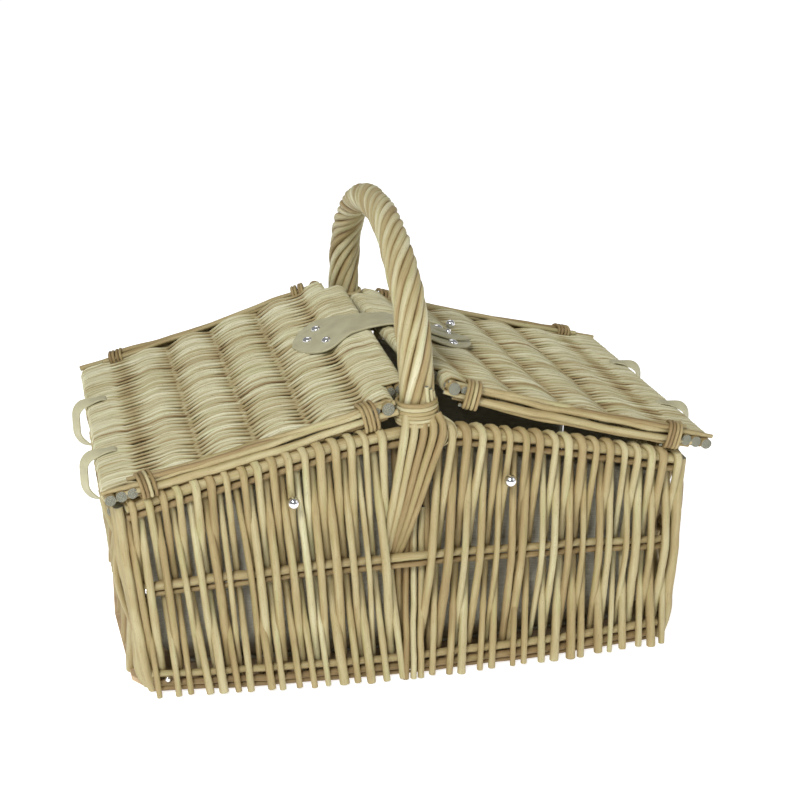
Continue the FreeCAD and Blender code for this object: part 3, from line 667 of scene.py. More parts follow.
BASE_INSET = 5.0
BASE_UNDERSIDE = 0.6


def make_base():
    """The plywood floor, set in from the bottom band."""
    x = np.linspace(-BASE_X + BASE_INSET, BASE_X - BASE_INSET, 61)
    half = BASE_HALF_WIDTH + arch(x, BASE_X, BASE_BOW) - BASE_INSET
    rings = []
    for place, reach in zip(x, half):
        low, high = BASE_UNDERSIDE, PANEL_TOP
        around = ((-reach, low), (reach, low), (reach, high), (-reach, high))
        rings.append([(place, y, z) for y, z in around])
    rings = np.array(rings)
    piece = Piece()
    piece.loft(rings, rings.copy(), 0.5)
    base = piece.make("base_board", PLYWOOD, "basket", "plywood", ["base_panel"])
    base.data.shade_flat()


# height (above the floor, or from the middle of the band), radius, tone, distance out of the wall
# painted shade: the two lower rods get dark tones for the shade near the floor
BOTTOM_RODS = ((17.4, 3.2, 0.52, 0.0), (9.6, 2.9, 0.24, 0.4), (4.6, 2.5, 0.14, -0.8))
MIDDLE_RODS = ((3.0, 3.3, 0.48, 0.0), (-3.4, 2.3, 0.36, 0.3))


def make_bands():
    bottom = Piece()
    for height, radius, tone, offset in BOTTOM_RODS:
        long_rods(bottom, lambda x: np.zeros_like(x) + height, radius, tone, offset)
    bottom.willow("bottom_band", "bottom_band_rods")
    middle = Piece()
    for height, radius, tone, offset in MIDDLE_RODS:
        long_rods(middle, lambda x: mid_height(x) + height, radius, tone, offset)
    middle.willow("mid_band", "mid_band_rods")


def gable_rod(piece, drop, radius, tone, sign, side):
    x = side * np.arange(1.0, RIM_X - ROD_END_GAP + 6, 5.0)
    z = rim_top(x, sign) - drop + ripple(x, 0.35, 120.0)
    piece.rod(long_wall(x, z, ripple(x, 0.3, 100.0), sign), radius, Z_AXIS, 1.0, tone, 14)


THICK_RIM_R = RIM_ROD_R + 0.3
THIN_RIM_R = 2.6


def make_rims():
    thin_drop = RIM_ROD_R + 4.4
    thin = Piece()
    for sign, name in ((-1, "front"), (1, "rear")):
        thick = Piece()
        for side in (-1, 1):
            gable_rod(thick, 0.0, THICK_RIM_R, 0.55, sign, side)
            gable_rod(thin, thin_drop, THIN_RIM_R, 0.36, sign, side)
        thick.willow(name + "_rim", name + "_rim_rods")
    for sign, name in ((-1, "left"), (1, "right")):
        y = np.arange(-RIM_HALF_WIDTH + ROD_END_GAP - 3, RIM_HALF_WIDTH - ROD_END_GAP + 4, 5.0)
        thick = Piece()
        rods = ((0, THICK_RIM_R, thick, 0.5), (thin_drop, THIN_RIM_R, thin, 0.36))
        for drop, radius, piece, tone in rods:
            z = end_rim(y, sign) - drop + ripple(y, 0.3, 100.0)
            path = wall_at_end(sign)(y, z, ripple(y, 0.3, 90.0))
            piece.rod(path, radius, Z_AXIS, 1.0, tone, 14)
        thick.willow(name + "_rim", name + "_rim_rod")
    thin.willow("thin_rims", "thin_rim_rods")


def make_posts():
    """Thick, slightly wavy posts, two at each corner."""
    piece = Piece()
    corner_z = rim_height(RIM_X)
    for sx in (-1, 1):
        for sy in (-1, 1):
            for along, across, radius, top in ((-3.0, 1.2, 4.3, 4.0), (-1.6, -7.6, 5.0, 2.0)):
                z = np.linspace(3.2, corner_z + top, 40)
                t = z / corner_z
                foot = 5.0 * np.clip(1 - z / 30.0, 0, 1) ** 2
                bulge = 1.6 * np.sin(math.tau * t * 1.5 + (0.4 if across < 0 else 2.4))
                x = BASE_X + (RIM_X - BASE_X) * t + along - foot + ripple(z, 0.5, 90.0)
                y = RIM_HALF_WIDTH + across - foot + bulge * 0.6
                x = x + bulge * (0.8 if across < 0 else 0.2)
                path = np.stack([x * sx + TOP_SHIFT * t, y * sy, z], 1)
                piece.rod(path, radius * np.linspace(1.08, 0.92, len(z)), X_AXIS, 0.95, stake_tone(), 14)
    piece.willow("corner_rods", "corner_posts")


# ---- handle ---------------------------------------------------------------------------
SHOULDER_Z = 280.0
CROWN_HALF = 62.5
ARCH_RADII = (98.0, 164.0, 164.0, 98.0)
STRANDS = 10
STRAND_R = 3.4
GRIP_R = 13.6
CROWN_THINNING = 1.7


def handle_line(low_z):
    half = ((HANDLE_SPAN, low_z), (HANDLE_SPAN, SHOULDER_Z), (CROWN_HALF, HANDLE_TOP))
    corners = [(0, -y, z) for y, z in half] + [(0, y, z) for y, z in reversed(half)]
    return rounded_path(corners, ARCH_RADII)


def make_handle():
    centre = handle_line(HANDLE_FOOT_Z + 1.0)
    core = Piece()
    core.rod(centre, CORE_R - 0.6, X_AXIS, 1.0, 0.3, 16)
    core.willow("handle_heart", "handle_core")
    s = lengths(centre)
    share = s / s[-1]
    steep = np.radians(17 + 22 * np.sin(math.pi * share) ** 1.2)
    grip = GRIP_R - CROWN_THINNING * np.sin(math.pi * share) ** 3
    twist = np.concatenate([[0], np.cumsum(np.diff(s) * np.tan(steep[1:]) / GRIP_R)])
    tangent = unit(np.gradient(centre, axis=0))
    outward = np.cross(X_AXIS, tangent)
    strands = Piece()
    for k in range(STRANDS):
        radius = STRAND_R * rng.uniform(0.84, 1.08)
        ring = grip - radius + ripple(s, 0.5, 90.0)
        angle = math.tau * k / STRANDS - twist + ripple(s, 0.06, 150.0)
        offset = X_AXIS * (np.sin(angle) * ring)[:, None] - outward * (np.cos(angle) * ring)[:, None]
        side = X_AXIS * np.cos(angle)[:, None] + outward * np.sin(angle)[:, None]
        strands.rod(centre + offset, radius, side, 0.98, rng.normal(0.72, 0.08), 12, 0.03, 0.42)
    strands.willow("handle_twist", "handle_strands")


RIM_FACE = RIM_HALF_WIDTH + RIM_BOW  # the rim's middle line at the middle of a long wall


def collar_turns(piece, middle):
    """Thin willow wound round a leg of the handle."""
    turn = np.linspace(0, math.tau, 49)
    for k in range(6):
        z = HANDLE_FOOT_Z + 1.6 + k * 2.95 + 0.7 * np.sin(turn + 0.5 * k)
        around = GRIP_R + 1.7 + 0.4 * np.sin(2 * turn + k)
        path = middle + np.stack([around * np.cos(turn), around * np.sin(turn), z], 1)
        piece.rod(path, 1.75, Z_AXIS, 0.85, rng.normal(0.6, 0.1), 8)


def collar_ends(piece, middle, sign):
    """The ends of the collar's willow, which stand up beside the leg."""
    for k in range(3):
        angle = math.radians(-62 + k * 19)
        out = np.array([math.cos(angle) * GRIP_R, sign * -math.sin(angle) * GRIP_R, 0])
        foot = middle + out * 1.02 + Z_AXIS * (HANDLE_FOOT_Z + 12)
        tip = foot + np.array([-2.0, 0, 19.0 - 3 * k]) + out * 0.04
        piece.rod(smooth_curve([foot, (foot + tip) / 2, tip]), 1.7, X_AXIS, 1, 0.75, 8)


def foot_rods(piece, sign):
    """Thick rods from the collar over the rim, which narrow to a bundle at the mid band."""
    for k in range(5):
        head_x = (k - 2) * 7.4 + 2.5
        points = [
            (head_x * 0.8, sign * (HANDLE_SPAN + 9.5), HANDLE_FOOT_Z + 8),
            (head_x, sign * (RIM_FACE + 9.2), RIM_MIDDLE_Z + 1),
        ]
        steps = ((178, 6.6, 6.0), (140, 2.0, 13.5), (112, -4.2, 19.0), (90 + 3 * k, -5.2, 22.0))
        for z, offset, lean in steps:
            narrow = 1 - 0.62 * (RIM_MIDDLE_Z - z) / 118.0
            points.append((head_x * narrow - lean, sign * (RIM_FACE + offset), z))
        path = smooth_curve(points, 4.0)
        piece.rod(path, np.linspace(3.3, 2.6, len(path)), X_AXIS, 1.0, rng.normal(0.47, 0.10), 12)


def thin_strips(piece, sign):
    """Thin ends laid over the rim beside the foot rods."""
    for k in range(5):
        x = 14.5 + 3.5 * k
        points = [
            (11.0 + 0.8 * k, sign * (HANDLE_SPAN - 3), HANDLE_FOOT_Z + 5),
            (x - 1.5, sign * (RIM_FACE - 1.5), RIM_MIDDLE_Z + 6.4 - 0.9 * k),
            (x, sign * (RIM_FACE + 5.4), RIM_MIDDLE_Z + 1.0 - 0.8 * k),
            (x - 1.0, sign * (RIM_FACE + 5.8), RIM_MIDDLE_Z - 8),
            (x - 3.0 - k, sign * (RIM_FACE + 5.0), RIM_MIDDLE_Z - 17 + 1.6 * k),
        ]
        path = smooth_curve(points, 2.5)
        radius = np.linspace(1.5, 0.7, len(path))
        piece.rod(path, radius, X_AXIS, 0.8, rng.normal(0.66, 0.08), 8)


def make_feet():
    """Collars round each leg of the handle, the rods that run down over the rim, and thin ends."""
    collars, front, rear = Piece(), Piece(), Piece()
    for sign, foot in ((-1, front), (1, rear)):
        middle = np.array([0.0, sign * HANDLE_SPAN, 0.0])
        collar_turns(collars, middle)
        collar_ends(collars, middle, sign)
        foot_rods(foot, sign)
        thin_strips(foot, sign)
    collars.willow("foot_collars", "handle_collars")
    front.willow("front_foot", "front_foot_rods")
    rear.willow("rear_foot", "rear_foot_rods")


SHORT_STAKE_TOP = 142.0


def make_inner_rods():
    """The thick rods inside the wall under the handle, and the short stakes in front of them."""
    liners, short = Piece(), Piece()
    for sign in (-1, 1):
        for x in (-12.0, 0.0, 12.0):
            z = np.arange(PANEL_TOP + 1, RIM_MIDDLE_Z, 5.0)
            path = long_wall(np.full(z.shape, x), z, -RIM_ROD_R - 3.7, sign)
            liners.rod(path, 3.0, X_AXIS, 1, 0.34, 10)
        for x in (-9.5, -3.2, 3.0):
            z = np.append(np.arange(1.6, SHORT_STAKE_TOP - 2.0, 4.0), SHORT_STAKE_TOP)
            offsets = (FOOT_OFFSET, -WEAVE_OFFSET, -WEAVE_OFFSET)
            offset = woven(z, (0.0, mid_height(0.0), SHORT_STAKE_TOP), offsets)
            path = long_wall(np.full(z.shape, x), z, offset, sign)
            path[:, 0] += (8.0 * z / SHORT_STAKE_TOP - 2.0) + ripple(z, 0.4, 90.0)
            short.rod(path, 2.6, X_AXIS, 1, stake_tone() - 0.08, 10)
    liners.willow("liner_rods", "handle_liners")
    short.willow("short_rods", "short_stakes")


# ---- lids -----------------------------------------------------------------------------
ROWS = 76
ROW_THICK = 2.4
RIB_PLACES = (52.0, 94.0, 136.0, 178.0)
RIB_R = 2.4
END_ROD_PITCH = 8.6
CENTRE_ROD_R = 3.6
CENTRE_RODS = (8.7, 16.1)  # how far the centre rods lie beyond the inner rod
CENTRE_HALF = 126.0
EDGE_STRIP = 9.5
COVER = 1.4  # from a rod's skin to the middle of the weaver round it
SAG = 2.4


class Lid:
    """Turns flat lid coordinates (u along, y across, w up) into places in the basket.
    The real lids are a little twisted, so each has its own roll at the two ends."""

    rolls = {"left": (0.0, 0.0165), "right": (-0.034, -0.058)}
    lifts = {"left": 2.3, "right": 0.0}

    def __init__(self, side):
        self.side = side
        self.sign = -1 if side == "left" else 1
        self.roll = self.rolls[side]
        self.lift = self.lifts[side]
        low, high = box_mm(side + "_lid_end_rods")
        outer_x = max(abs(low[0]), abs(high[0])) - END_ROD_R
        self.start = np.array([self.sign * outer_x, 0, low[2] + END_ROD_R])
        self.outer_half = high[1]
        low, high = box_mm(side + "_lid_inner_rods")
        last_x = min(abs(low[0]), abs(high[0])) + CENTRE_ROD_R
        end = np.array([self.sign * last_x, 0, high[2] - CENTRE_ROD_R])
        self.inner_half = high[1]
        reach = float(np.linalg.norm(end - self.start))
        self.length = reach - CENTRE_RODS[-1]
        self.run = (end - self.start) / reach
        self.up = np.array([-self.run[2], 0, self.run[0]])
        self.up *= np.sign(self.up[2])

    def edge(self, u):
        return self.outer_half + (self.inner_half - self.outer_half) * u / self.length

    def tilt(self, u):
        share = u / self.length
        return self.roll[0] + (self.roll[1] - self.roll[0]) * share

    def at(self, u, y, w):
        u, y, w = np.broadcast_arrays(*(np.asarray(v, float) for v in (u, y, w)))
        share = np.clip(u / self.length, 0, 1)
        w = w + self.tilt(u) * y + self.lift * share - SAG * np.sin(math.pi * share)
        return self.start + u[..., None] * self.run + y[..., None] * Y_AXIS + w[..., None] * self.up


def wrapped(u, radius, turns):
    """Points round a rod at u, for angles measured from the far side of the rod."""
    out = []
    for turn in turns:
        a = math.radians(turn)
        out.append((u + radius * math.cos(a), radius * math.sin(a)))
    return out


def row_profile(length, phase, to_centre):
    """One weaver in the (u, w) plane: hooked round the end rods, over and under the ribs."""
    over = END_ROD_R + COVER
    inner_over = INNER_ROD_R + COVER
    points = [(2 * END_ROD_PITCH + 4, -over + 1.0), (END_ROD_PITCH, -over), (0, -over)]
    points += [(-u, w) for u, w in wrapped(0, over, (-60, -20, 20, 60))]
    points += [(2, over), (END_ROD_PITCH, over), (2 * END_ROD_PITCH - 1, over - 0.2)]
    points.append((2 * END_ROD_PITCH + 7, over - 1.6 if phase else over - 3.4))
    crest = RIB_R + COVER + 0.7
    for k, u in enumerate(RIB_PLACES):
        sign = 1 if (k + phase) % 2 else -1
        points += [(u - 9, sign * crest * 0.8), (u, sign * crest), (u + 9, sign * crest * 0.8)]
    points.append((length - 16.5, 0.4 if phase else 2.6))
    points += [(length - 9, inner_over - 1.3), (length, inner_over)]
    if to_centre:
        last = CENTRE_ROD_R + COVER
        points.append((length + CENTRE_RODS[0], last + 0.2))
        points += wrapped(length + CENTRE_RODS[1], last, (90, 50, 0, -50, -90))
        points.append((length + CENTRE_RODS[0], -last))
    else:
        points += wrapped(length, inner_over, (60, 25, -25, -60))
    points += [(length, -inner_over), (length - 9, -inner_over + 1.8), (length - 17, -3.0)]
    return points


def crest_share(u):
    """1 where a weaver rides over or under a rib and can spread, 0 where rows cross."""
    share = np.zeros_like(u)
    for place in RIB_PLACES:
        share = np.maximum(share, np.clip(1 - np.abs(u - place) / 18.0, 0, 1))
    return share * share * (3 - 2 * share)


def valley_share(u):
    """1 in the dips between the crests, where rows cross and shade one another."""
    dips = (31.0,) + tuple((a + b) / 2 for a, b in zip(RIB_PLACES, RIB_PLACES[1:])) + (199.0,)
    return np.max([np.exp(-(((u - dip) / 5.5) ** 2)) for dip in dips], 0)


def lid_weave(lid):
    """Rows of weavers, each a pair of thin rods side by side that spread on the crests."""
    piece = Piece()
    pitch = 2 * (lid.outer_half - EDGE_STRIP) / ROWS
    for j in range(ROWS):
        share = (j + 0.5) / ROWS * 2 - 1
        to_centre = abs(share) * (lid.inner_half - EDGE_STRIP) < CENTRE_HALF - 2
        profile = row_profile(lid.length, j % 2, to_centre)
        flat = evenly(smooth_curve([(u, 0.0, w) for u, w in profile], 2.0), 4.3)
        u, w = flat[:, 0], flat[:, 2]
        s = lengths(flat)
        crest = crest_share(u)
        wander = ripple(s, 0.35, 95.0)
        for side in (-1, 1):
            apart = side * pitch * (0.20 + 0.31 * crest) + ripple(s, 0.22, 60.0)
            y = share * (lid.edge(u) - EDGE_STRIP) + wander + apart
            radius = pitch * (0.34 + 0.13 * crest) * rng.uniform(0.86, 1.12)
            lift = w + ripple(s, 0.28, 60.0)
            # painted shade: weavers are darkened in the dips between the crests, where rows shade one
            # another
            tone = rng.normal(0.90, 0.12) - 0.26 * valley_share(u)
            piece.rod(lid.at(u, y, lift), radius, Y_AXIS, 0.92, tone, 6, 0.05, 0.46)
    return piece


def lid_rods(lid):
    ends, inner, ribs = Piece(), Piece(), Piece()
    for k in range(3):
        half = lid.outer_half + (1.0 if k == 0 else 0.0)
        y = np.linspace(-half, half, 30)
        ends.rod(lid.at(k * END_ROD_PITCH, y, 0.0), END_ROD_R + 0.25, lid.up, 1, 0.45, 16)
    y = np.linspace(-lid.inner_half, lid.inner_half, 30)
    inner.rod(lid.at(lid.length, y, 0.0), INNER_ROD_R + 0.1, lid.up, 1, 0.5, 16)
    inner.rod(lid.at(lid.length - 9.0, y * 0.985, 0.6), 3.0, lid.up, 1, 0.62, 12)
    y = np.linspace(-CENTRE_HALF, CENTRE_HALF, 30)
    for beyond in CENTRE_RODS:
        inner.rod(lid.at(lid.length + beyond, y, 0.0), CENTRE_ROD_R, lid.up, 1, 0.5, 14)
    for u in RIB_PLACES:
        half = lid.edge(u) - 7.5
        y = np.linspace(-half, half, 40)
        ribs.rod(lid.at(u + ripple(y, 0.3, 120.0), y, 0.0), RIB_R, lid.up, 1, 0.45, 10)
    return ends, inner, ribs


BORDER_RODS = (
    # first u, last u as a share, distance in from the edge at both ends, height at both ends,
    # radius, tone
    (-5.0, 1.03, (4.0, 6.4), (5.6, 0.8), 2.9, 0.54),
    (16.0, 1.02, (11.5, 5.4), (7.0, 3.6), 2.4, 0.62),
    (26.0, 0.99, (2.4, 10.5), (8.4, 0.2), 2.4, 0.46),
    (6.0, 1.03, (2.2, 3.2), (0.8, -4.6), 3.1, 0.56),
    (12.0, 0.99, (5.6, 6.4), (-2.6, -8.0), 2.7, 0.44),
)
LID_ROD_NAMES = ("_outer_rods", "_inner_rods", "_ribs")
LID_ROD_NODES = ("_end_rods", "_inner_rods", "_ribs")
FRONT_HANG = {"left": 0.0, "right": 2.2}  # extra depth of the front border near the hinge


def lid_borders(lid):
    """Long tapered rods laid one over another along each side edge, on top and under."""
    piece = Piece()
    for sign in (-1, 1):
        for start, end, inset, height, radius, tone in BORDER_RODS:
            u = np.linspace(start, end * lid.length, 46)
            f = np.linspace(0, 1, len(u))
            taper = np.minimum(1.0, 0.5 + 2.2 * f) * (1.08 - 0.3 * f)
            if rng.random() < 0.5:
                taper = taper[::-1]
            y = sign * (lid.edge(u) - np.interp(f, (0, 1), inset) + ripple(u, 0.8, 110.0))
            hang = FRONT_HANG[lid.side] * (sign < 0) * (height[0] < 3) * (1 - f)
            w = np.interp(f, (0, 1), height) - hang + ripple(u, 0.5, 100.0)
            piece.rod(lid.at(u, y, w), radius * taper, lid.up, 1, tone + rng.normal(0, 0.05), 10)
    return piece


def lid_bindings(lid):
    """Turns of thin willow that tie the border rods together near both ends."""
    piece = Piece()
    for sign in (-1, 1):
        for start in (24.0, lid.length - 20.5):
            for k in range(4):
                u = start + 3.1 * k + rng.normal(0, 0.2)
                share = u / lid.length
                far = lid.edge(u) + 2.2
                near = lid.edge(u) - 13.4
                top = 11.2 + (7.6 - 11.2) * share
                low = -5.6 + (-12.6 + 5.6) * share - FRONT_HANG[lid.side] * (sign < 0) * (1 - share)
                middle = (far + near) / 2
                corners = [(middle, low), (far, low), (far, top), (near, top), (near, low), (middle, low)]
                points = [(0.0, y, w) for y, w in corners]
                turn = rounded_path(points, (5.0, 6.5, 5.0, 3.0), 1.8)
                y, w = turn[:, 1], turn[:, 2]
                shift = 2.6 * np.linspace(-0.5, 0.5, len(turn)) + 0.2 * (y - middle)
                piece.rod(lid.at(u + shift, sign * y, w), 1.45, lid.run, 1, rng.normal(0.42, 0.1), 8)
    return piece


def make_lids(lids):
    for side, lid in lids.items():
        body = side + "_lid"
        lid_weave(lid).willow(side + "_weave", body + "_weave", body)
        for piece, name, node in zip(lid_rods(lid), LID_ROD_NAMES, LID_ROD_NODES):
            piece.willow(side + name, body + node, body)
        lid_borders(lid).willow(side + "_border", body + "_border_rods", body)
        lid_bindings(lid).willow(side + "_bindings", body + "_bindings", body)


# ---- leather --------------------------------------------------------------------------
LEATHER_THICK = 2.2
FIELD = RIB_R + COVER + ROW_THICK / 2 + 0.3  # the underside of leather that lies on the weave
RIDGE = INNER_ROD_R + COVER + ROW_THICK / 2 + 0.3
BROW = CENTRE_ROD_R + COVER + ROW_THICK / 2 + 0.3
KEEPER_LIFT = LEATHER_THICK + 0.6
ACROSS = 24  # points across a face of the leather


def leather_band(lids, line, half_width, centre_y):
    """A flat band of leather along a line in the XZ plane, with rounded edges. It takes the
    roll of the lid that it lies on."""
    tangent = unit(np.gradient(line, axis=0))
    up = np.cross(tangent, Y_AXIS)
    up *= np.sign(up[len(up) // 2, 2])
    round_r = LEATHER_THICK / 2
    flat = np.linspace(-1, 1, ACROSS)
    bend = np.linspace(math.pi / 2, -math.pi / 2, 7)[1:-1]
    left_roll, right_roll = (lids[side].tilt(lids[side].length) for side in ("left", "right"))
    rings, grain = [], []
    s = lengths(line)
    for k, point in enumerate(line):
        half = max(half_width[k] - round_r, 0.2)
        y = np.concatenate([flat * half, half + round_r * np.cos(bend),
                            -flat * half, -half - round_r * np.cos(bend)])
        w = np.concatenate([np.full(ACROSS, LEATHER_THICK), round_r + round_r * np.sin(bend),
                            np.zeros(ACROSS), round_r - round_r * np.sin(bend)])
        roll = np.interp(point[0], (-9.0, 7.0), (left_roll, right_roll))
        place = y + centre_y[k]
        rings.append(point + place[:, None] * Y_AXIS + (w + roll * place)[:, None] * up[k])
        grain.append(np.stack([np.full(y.shape, s[k]), y + 300, w], 1))
    return np.array(rings), np.array(grain)


def leather_piece(rings, grain):
    piece = Piece()
    piece.loft(rings, grain, 0.5)
    return piece


def profile_of(x, knots):
    """A value along x from a few (x, value) knots."""
    at, values = np.array(knots, float).T
    return np.interp(x, at, values)


def smoothed(values, times=3):
    for _ in range(times):
        inner = (values[:-2] + 2 * values[1:-1] + values[2:]) / 4
        values = np.concatenate([values[:1], inner, values[-1:]])
    return values


# place along each lid, measured from its inner rod, and height of the strap's underside there
STRAP_ON_LEFT = (
    (-44, FIELD), (-32, FIELD), (-20, FIELD + 0.6), (-9, RIDGE - 0.8), (0, RIDGE), (9, BROW + 0.6),
)
STRAP_ON_RIGHT = (
    (17, BROW + 1.0), (9, BROW + 1.4), (0, RIDGE + KEEPER_LIFT), (-10, RIDGE + KEEPER_LIFT - 0.4),
    (-22, FIELD + KEEPER_LIFT + 0.6), (-34, FIELD + KEEPER_LIFT), (-48, FIELD + KEEPER_LIFT),
    (-58, FIELD + KEEPER_LIFT + 1.2),
)


def strap_line(lids):
    """The strap's underside, from its tip on the left lid to its tip on the right lid."""
    spots = []
    for lid, heights in ((lids["left"], STRAP_ON_LEFT), (lids["right"], STRAP_ON_RIGHT)):
        spots += [lid.at(lid.length + u, 0, w) for u, w in heights]
    return evenly(smooth_curve(spots, 1.5), 1.5)


STRAP_Y = 16.0
KEEPER_Y = 11.0
FOLD_X = -28.6
# share of the leaf's length and half width there
LEAF = ((0.0, 0.6), (0.02, 6), (0.06, 12.5), (0.13, 19.5), (0.25, 27.5), (0.4, 33.5), (0.52, 35.5),
        (0.64, 34.0), (0.8, 29), (1.0, 22.5))


def make_strap(lids):
    line = strap_line(lids)
    x = line[:, 0]
    leaf = [(x[0] + f * 46.0, w) for f, w in LEAF]
    tail = [(-8.0, 19.5), (20.0, 19.0), (54.0, 18.5), (62.0, 16.5), (70.0, 11.5), (75.5, 6.5), (x[-1], 0.6)]
    half = smoothed(profile_of(x, leaf + tail), 2)
    half[0] = half[-1] = 0.6
    centre = smoothed(profile_of(x, [(-70, STRAP_Y), (-5, STRAP_Y), (50, KEEPER_Y), (80, KEEPER_Y - 3)]), 8)
    rings, grain = leather_band(lids, line, half, centre)
    nodes = ["strap_patch", "strap_tongue"]
    strap = leather_piece(rings, grain).make("leather_strap", LEATHER, None, "leather", nodes)
    cut_slot(strap)
    x, _, z = line[np.argmin(np.abs(x - FOLD_X))] / MM
    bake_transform(strap)
    return line


def cut_slot(strap):
    """Cuts the buttonhole that the stud passes through."""
    low, high = STUD
    middle = (low + high) / 2
    slot = Piece()
    outline = []
    for angle in np.linspace(0, math.tau, 40, endpoint=False):
        c, s = math.cos(angle), math.sin(angle)
        stretch = 12.5 * np.sign(c) * abs(c) ** 0.35
        outline.append((middle[0] - 1 + stretch, middle[1] + (3.2 if abs(c) < 0.5 else 1.1) * s, 0))
    outline = np.array(outline)
    rings = np.stack([outline + Z_AXIS * (middle[2] - 40), outline + Z_AXIS * (middle[2] + 40)])
    slot.loft(rings, rings.copy(), 0.5)
    cutter = slot.make("slot_cutter", LEATHER, None, "leather")
    modifier = strap.modifiers.new("slot", "BOOLEAN")
    modifier.operation = "DIFFERENCE"
    modifier.object = cutter
    modifier.solver = "EXACT"
    shape = strap.evaluated_get(bpy.context.evaluated_depsgraph_get())
    mesh = bpy.data.meshes.new_from_object(shape)
    strap.modifiers.clear()
    strap.data = mesh
    bpy.data.objects.remove(cutter)


def make_keeper(lids):
    right = lids["right"]
    spots = [right.at(right.length - u, 0, FIELD + (0.8 if u < 22 else 0)) for u in (16, 28, 40, 50, 60)]
    line = evenly(smooth_curve(spots, 1.5), 1.5)
    share = (line[:, 0] - line[0, 0]) / (line[-1, 0] - line[0, 0])
    knots = [(0.0, 30), (0.2, 35.5), (0.42, 36), (0.6, 32), (0.75, 25), (0.88, 16), (0.95, 9.5), (1.0, 0.8)]
    half = smoothed(profile_of(share, knots), 1)
    half[-1] = 0.8
    rings, grain = leather_band(lids, line, half, np.full(len(line), KEEPER_Y))
    leather_piece(rings, grain).make("keeper_leather", LEATHER, "right_lid", "leather", ["keeper_patch"])


def turned(piece, place, up, outline):
    """A turned shape: rings at the (radius, height) pairs of the outline."""
    side = unit(np.cross(up, X_AXIS if abs(up[1]) > 0.9 else Y_AXIS))
    other = np.cross(up, side)
    angle = np.linspace(0, math.tau, 24, endpoint=False)
    circle = np.cos(angle)[:, None] * side + np.sin(angle)[:, None] * other
    rings = np.array([place + up * height + circle * radius for radius, height in outline])
    piece.loft(rings, rings.copy(), 0.5)


def dome(piece, place, up, radius):
    """A domed rivet head that sits on a surface."""
    angles = np.linspace(0, math.pi / 2 * 0.97, 9)
    outline = [(radius, -1.2)] + [(radius * math.cos(a), 0.1 + 0.66 * radius * math.sin(a)) for a in angles]
    turned(piece, place, up, outline)


def make_metal(lids, line):
    """Domed rivets on the leather, and the stud through the strap's slot."""
    left, right = lids["left"], lids["right"]
    rivets = Piece()
    for x, y in ((-44, STRAP_Y + 16), (-54, STRAP_Y + 1), (-42, STRAP_Y - 17)):
        spot = line[np.argmin(np.abs(line[:, 0] - x))]
        place = spot + left.up * (LEATHER_THICK + left.tilt(left.length) * y) + Y_AXIS * y
        dome(rivets, place, left.up, 4.2)
    rivets.make("patch_rivets", CHROME, "left_lid", "chrome", ["strap_rivets"])
    rivets = Piece()
    for y in (KEEPER_Y - 24.5, KEEPER_Y + 24.5):
        place = right.at(right.length - 36.5, y, FIELD + LEATHER_THICK)
        dome(rivets, place, right.up, 4.2)
    rivets.make("keeper_domes", CHROME, "right_lid", "chrome", ["keeper_rivets"])
    knob = Piece()
    low, high = STUD
    middle = (low + high) / 2
    foot = np.array([middle[0], middle[1], low[2]])
    turned(knob, foot, right.up, ((3.4, -0.4), (3.4, 0.6), (1.9, 1.2), (1.9, 5.6)))
    angles = np.linspace(-1.2, 1.45, 11)
    turned(knob, foot + right.up * 8.6, right.up, [(4.0 * math.cos(a), 3.7 * math.sin(a)) for a in angles])
    knob.make("strap_stud", CHROME, "right_lid", "chrome", ["keeper_stud"])


RING_U = 12.5  # how far from a lid's outermost rod its rings pass through
RING_TWIST = math.radians(38)
RING_BEND = (0.150, 0.172)  # metres: two heights, unpacked in make_hinge_rings but not used


def make_hinge_rings(lids):
    """Leather rings through the lids and under the end rims."""
    for side, lid in lids.items():
        low, high = box_mm(side + "_hinge_loops")
        outer_x = max(abs(low[0]), abs(high[0])) - 0.8
        inner_x = abs(lid.at(RING_U, 0, 0)[0])
        over = lid.at(RING_U, 0, END_ROD_R + 2 * COVER + 1.6)
        low_z = low[2] + 0.8
        corner_z = lid.at(-13.0, 0, END_ROD_R + 2 * COVER + 1.6)[2]
        piece = Piece()
        for y in LOOP_PLACES:
            lift = lid.tilt(0) * y
            corners = [
                (inner_x + 14, y, low_z), (outer_x, y, low_z), (outer_x, y, corner_z + lift),
                (inner_x + 0.5, y, over[2] + lift), (inner_x, y, low_z), (inner_x + 14, y, low_z),
            ]
            line = rounded_path(corners, (15.0, 11.0, 3.5, 4.0), 2.0)
            line = line * np.array([lid.sign, 1, 1])
            twist = RING_TWIST * np.clip((np.abs(line[:-1, 0]) - abs(lid.start[0]) + 2) / 12.0, 0, 1)
            band_ring(piece, line[:-1], 4.7, 1.7, twist)
        rings = piece.make(side + "_rings", LEATHER, None, "leather", [side + "_hinge_loops"])
        low_z, high_z = RING_BEND
        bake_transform(rings)


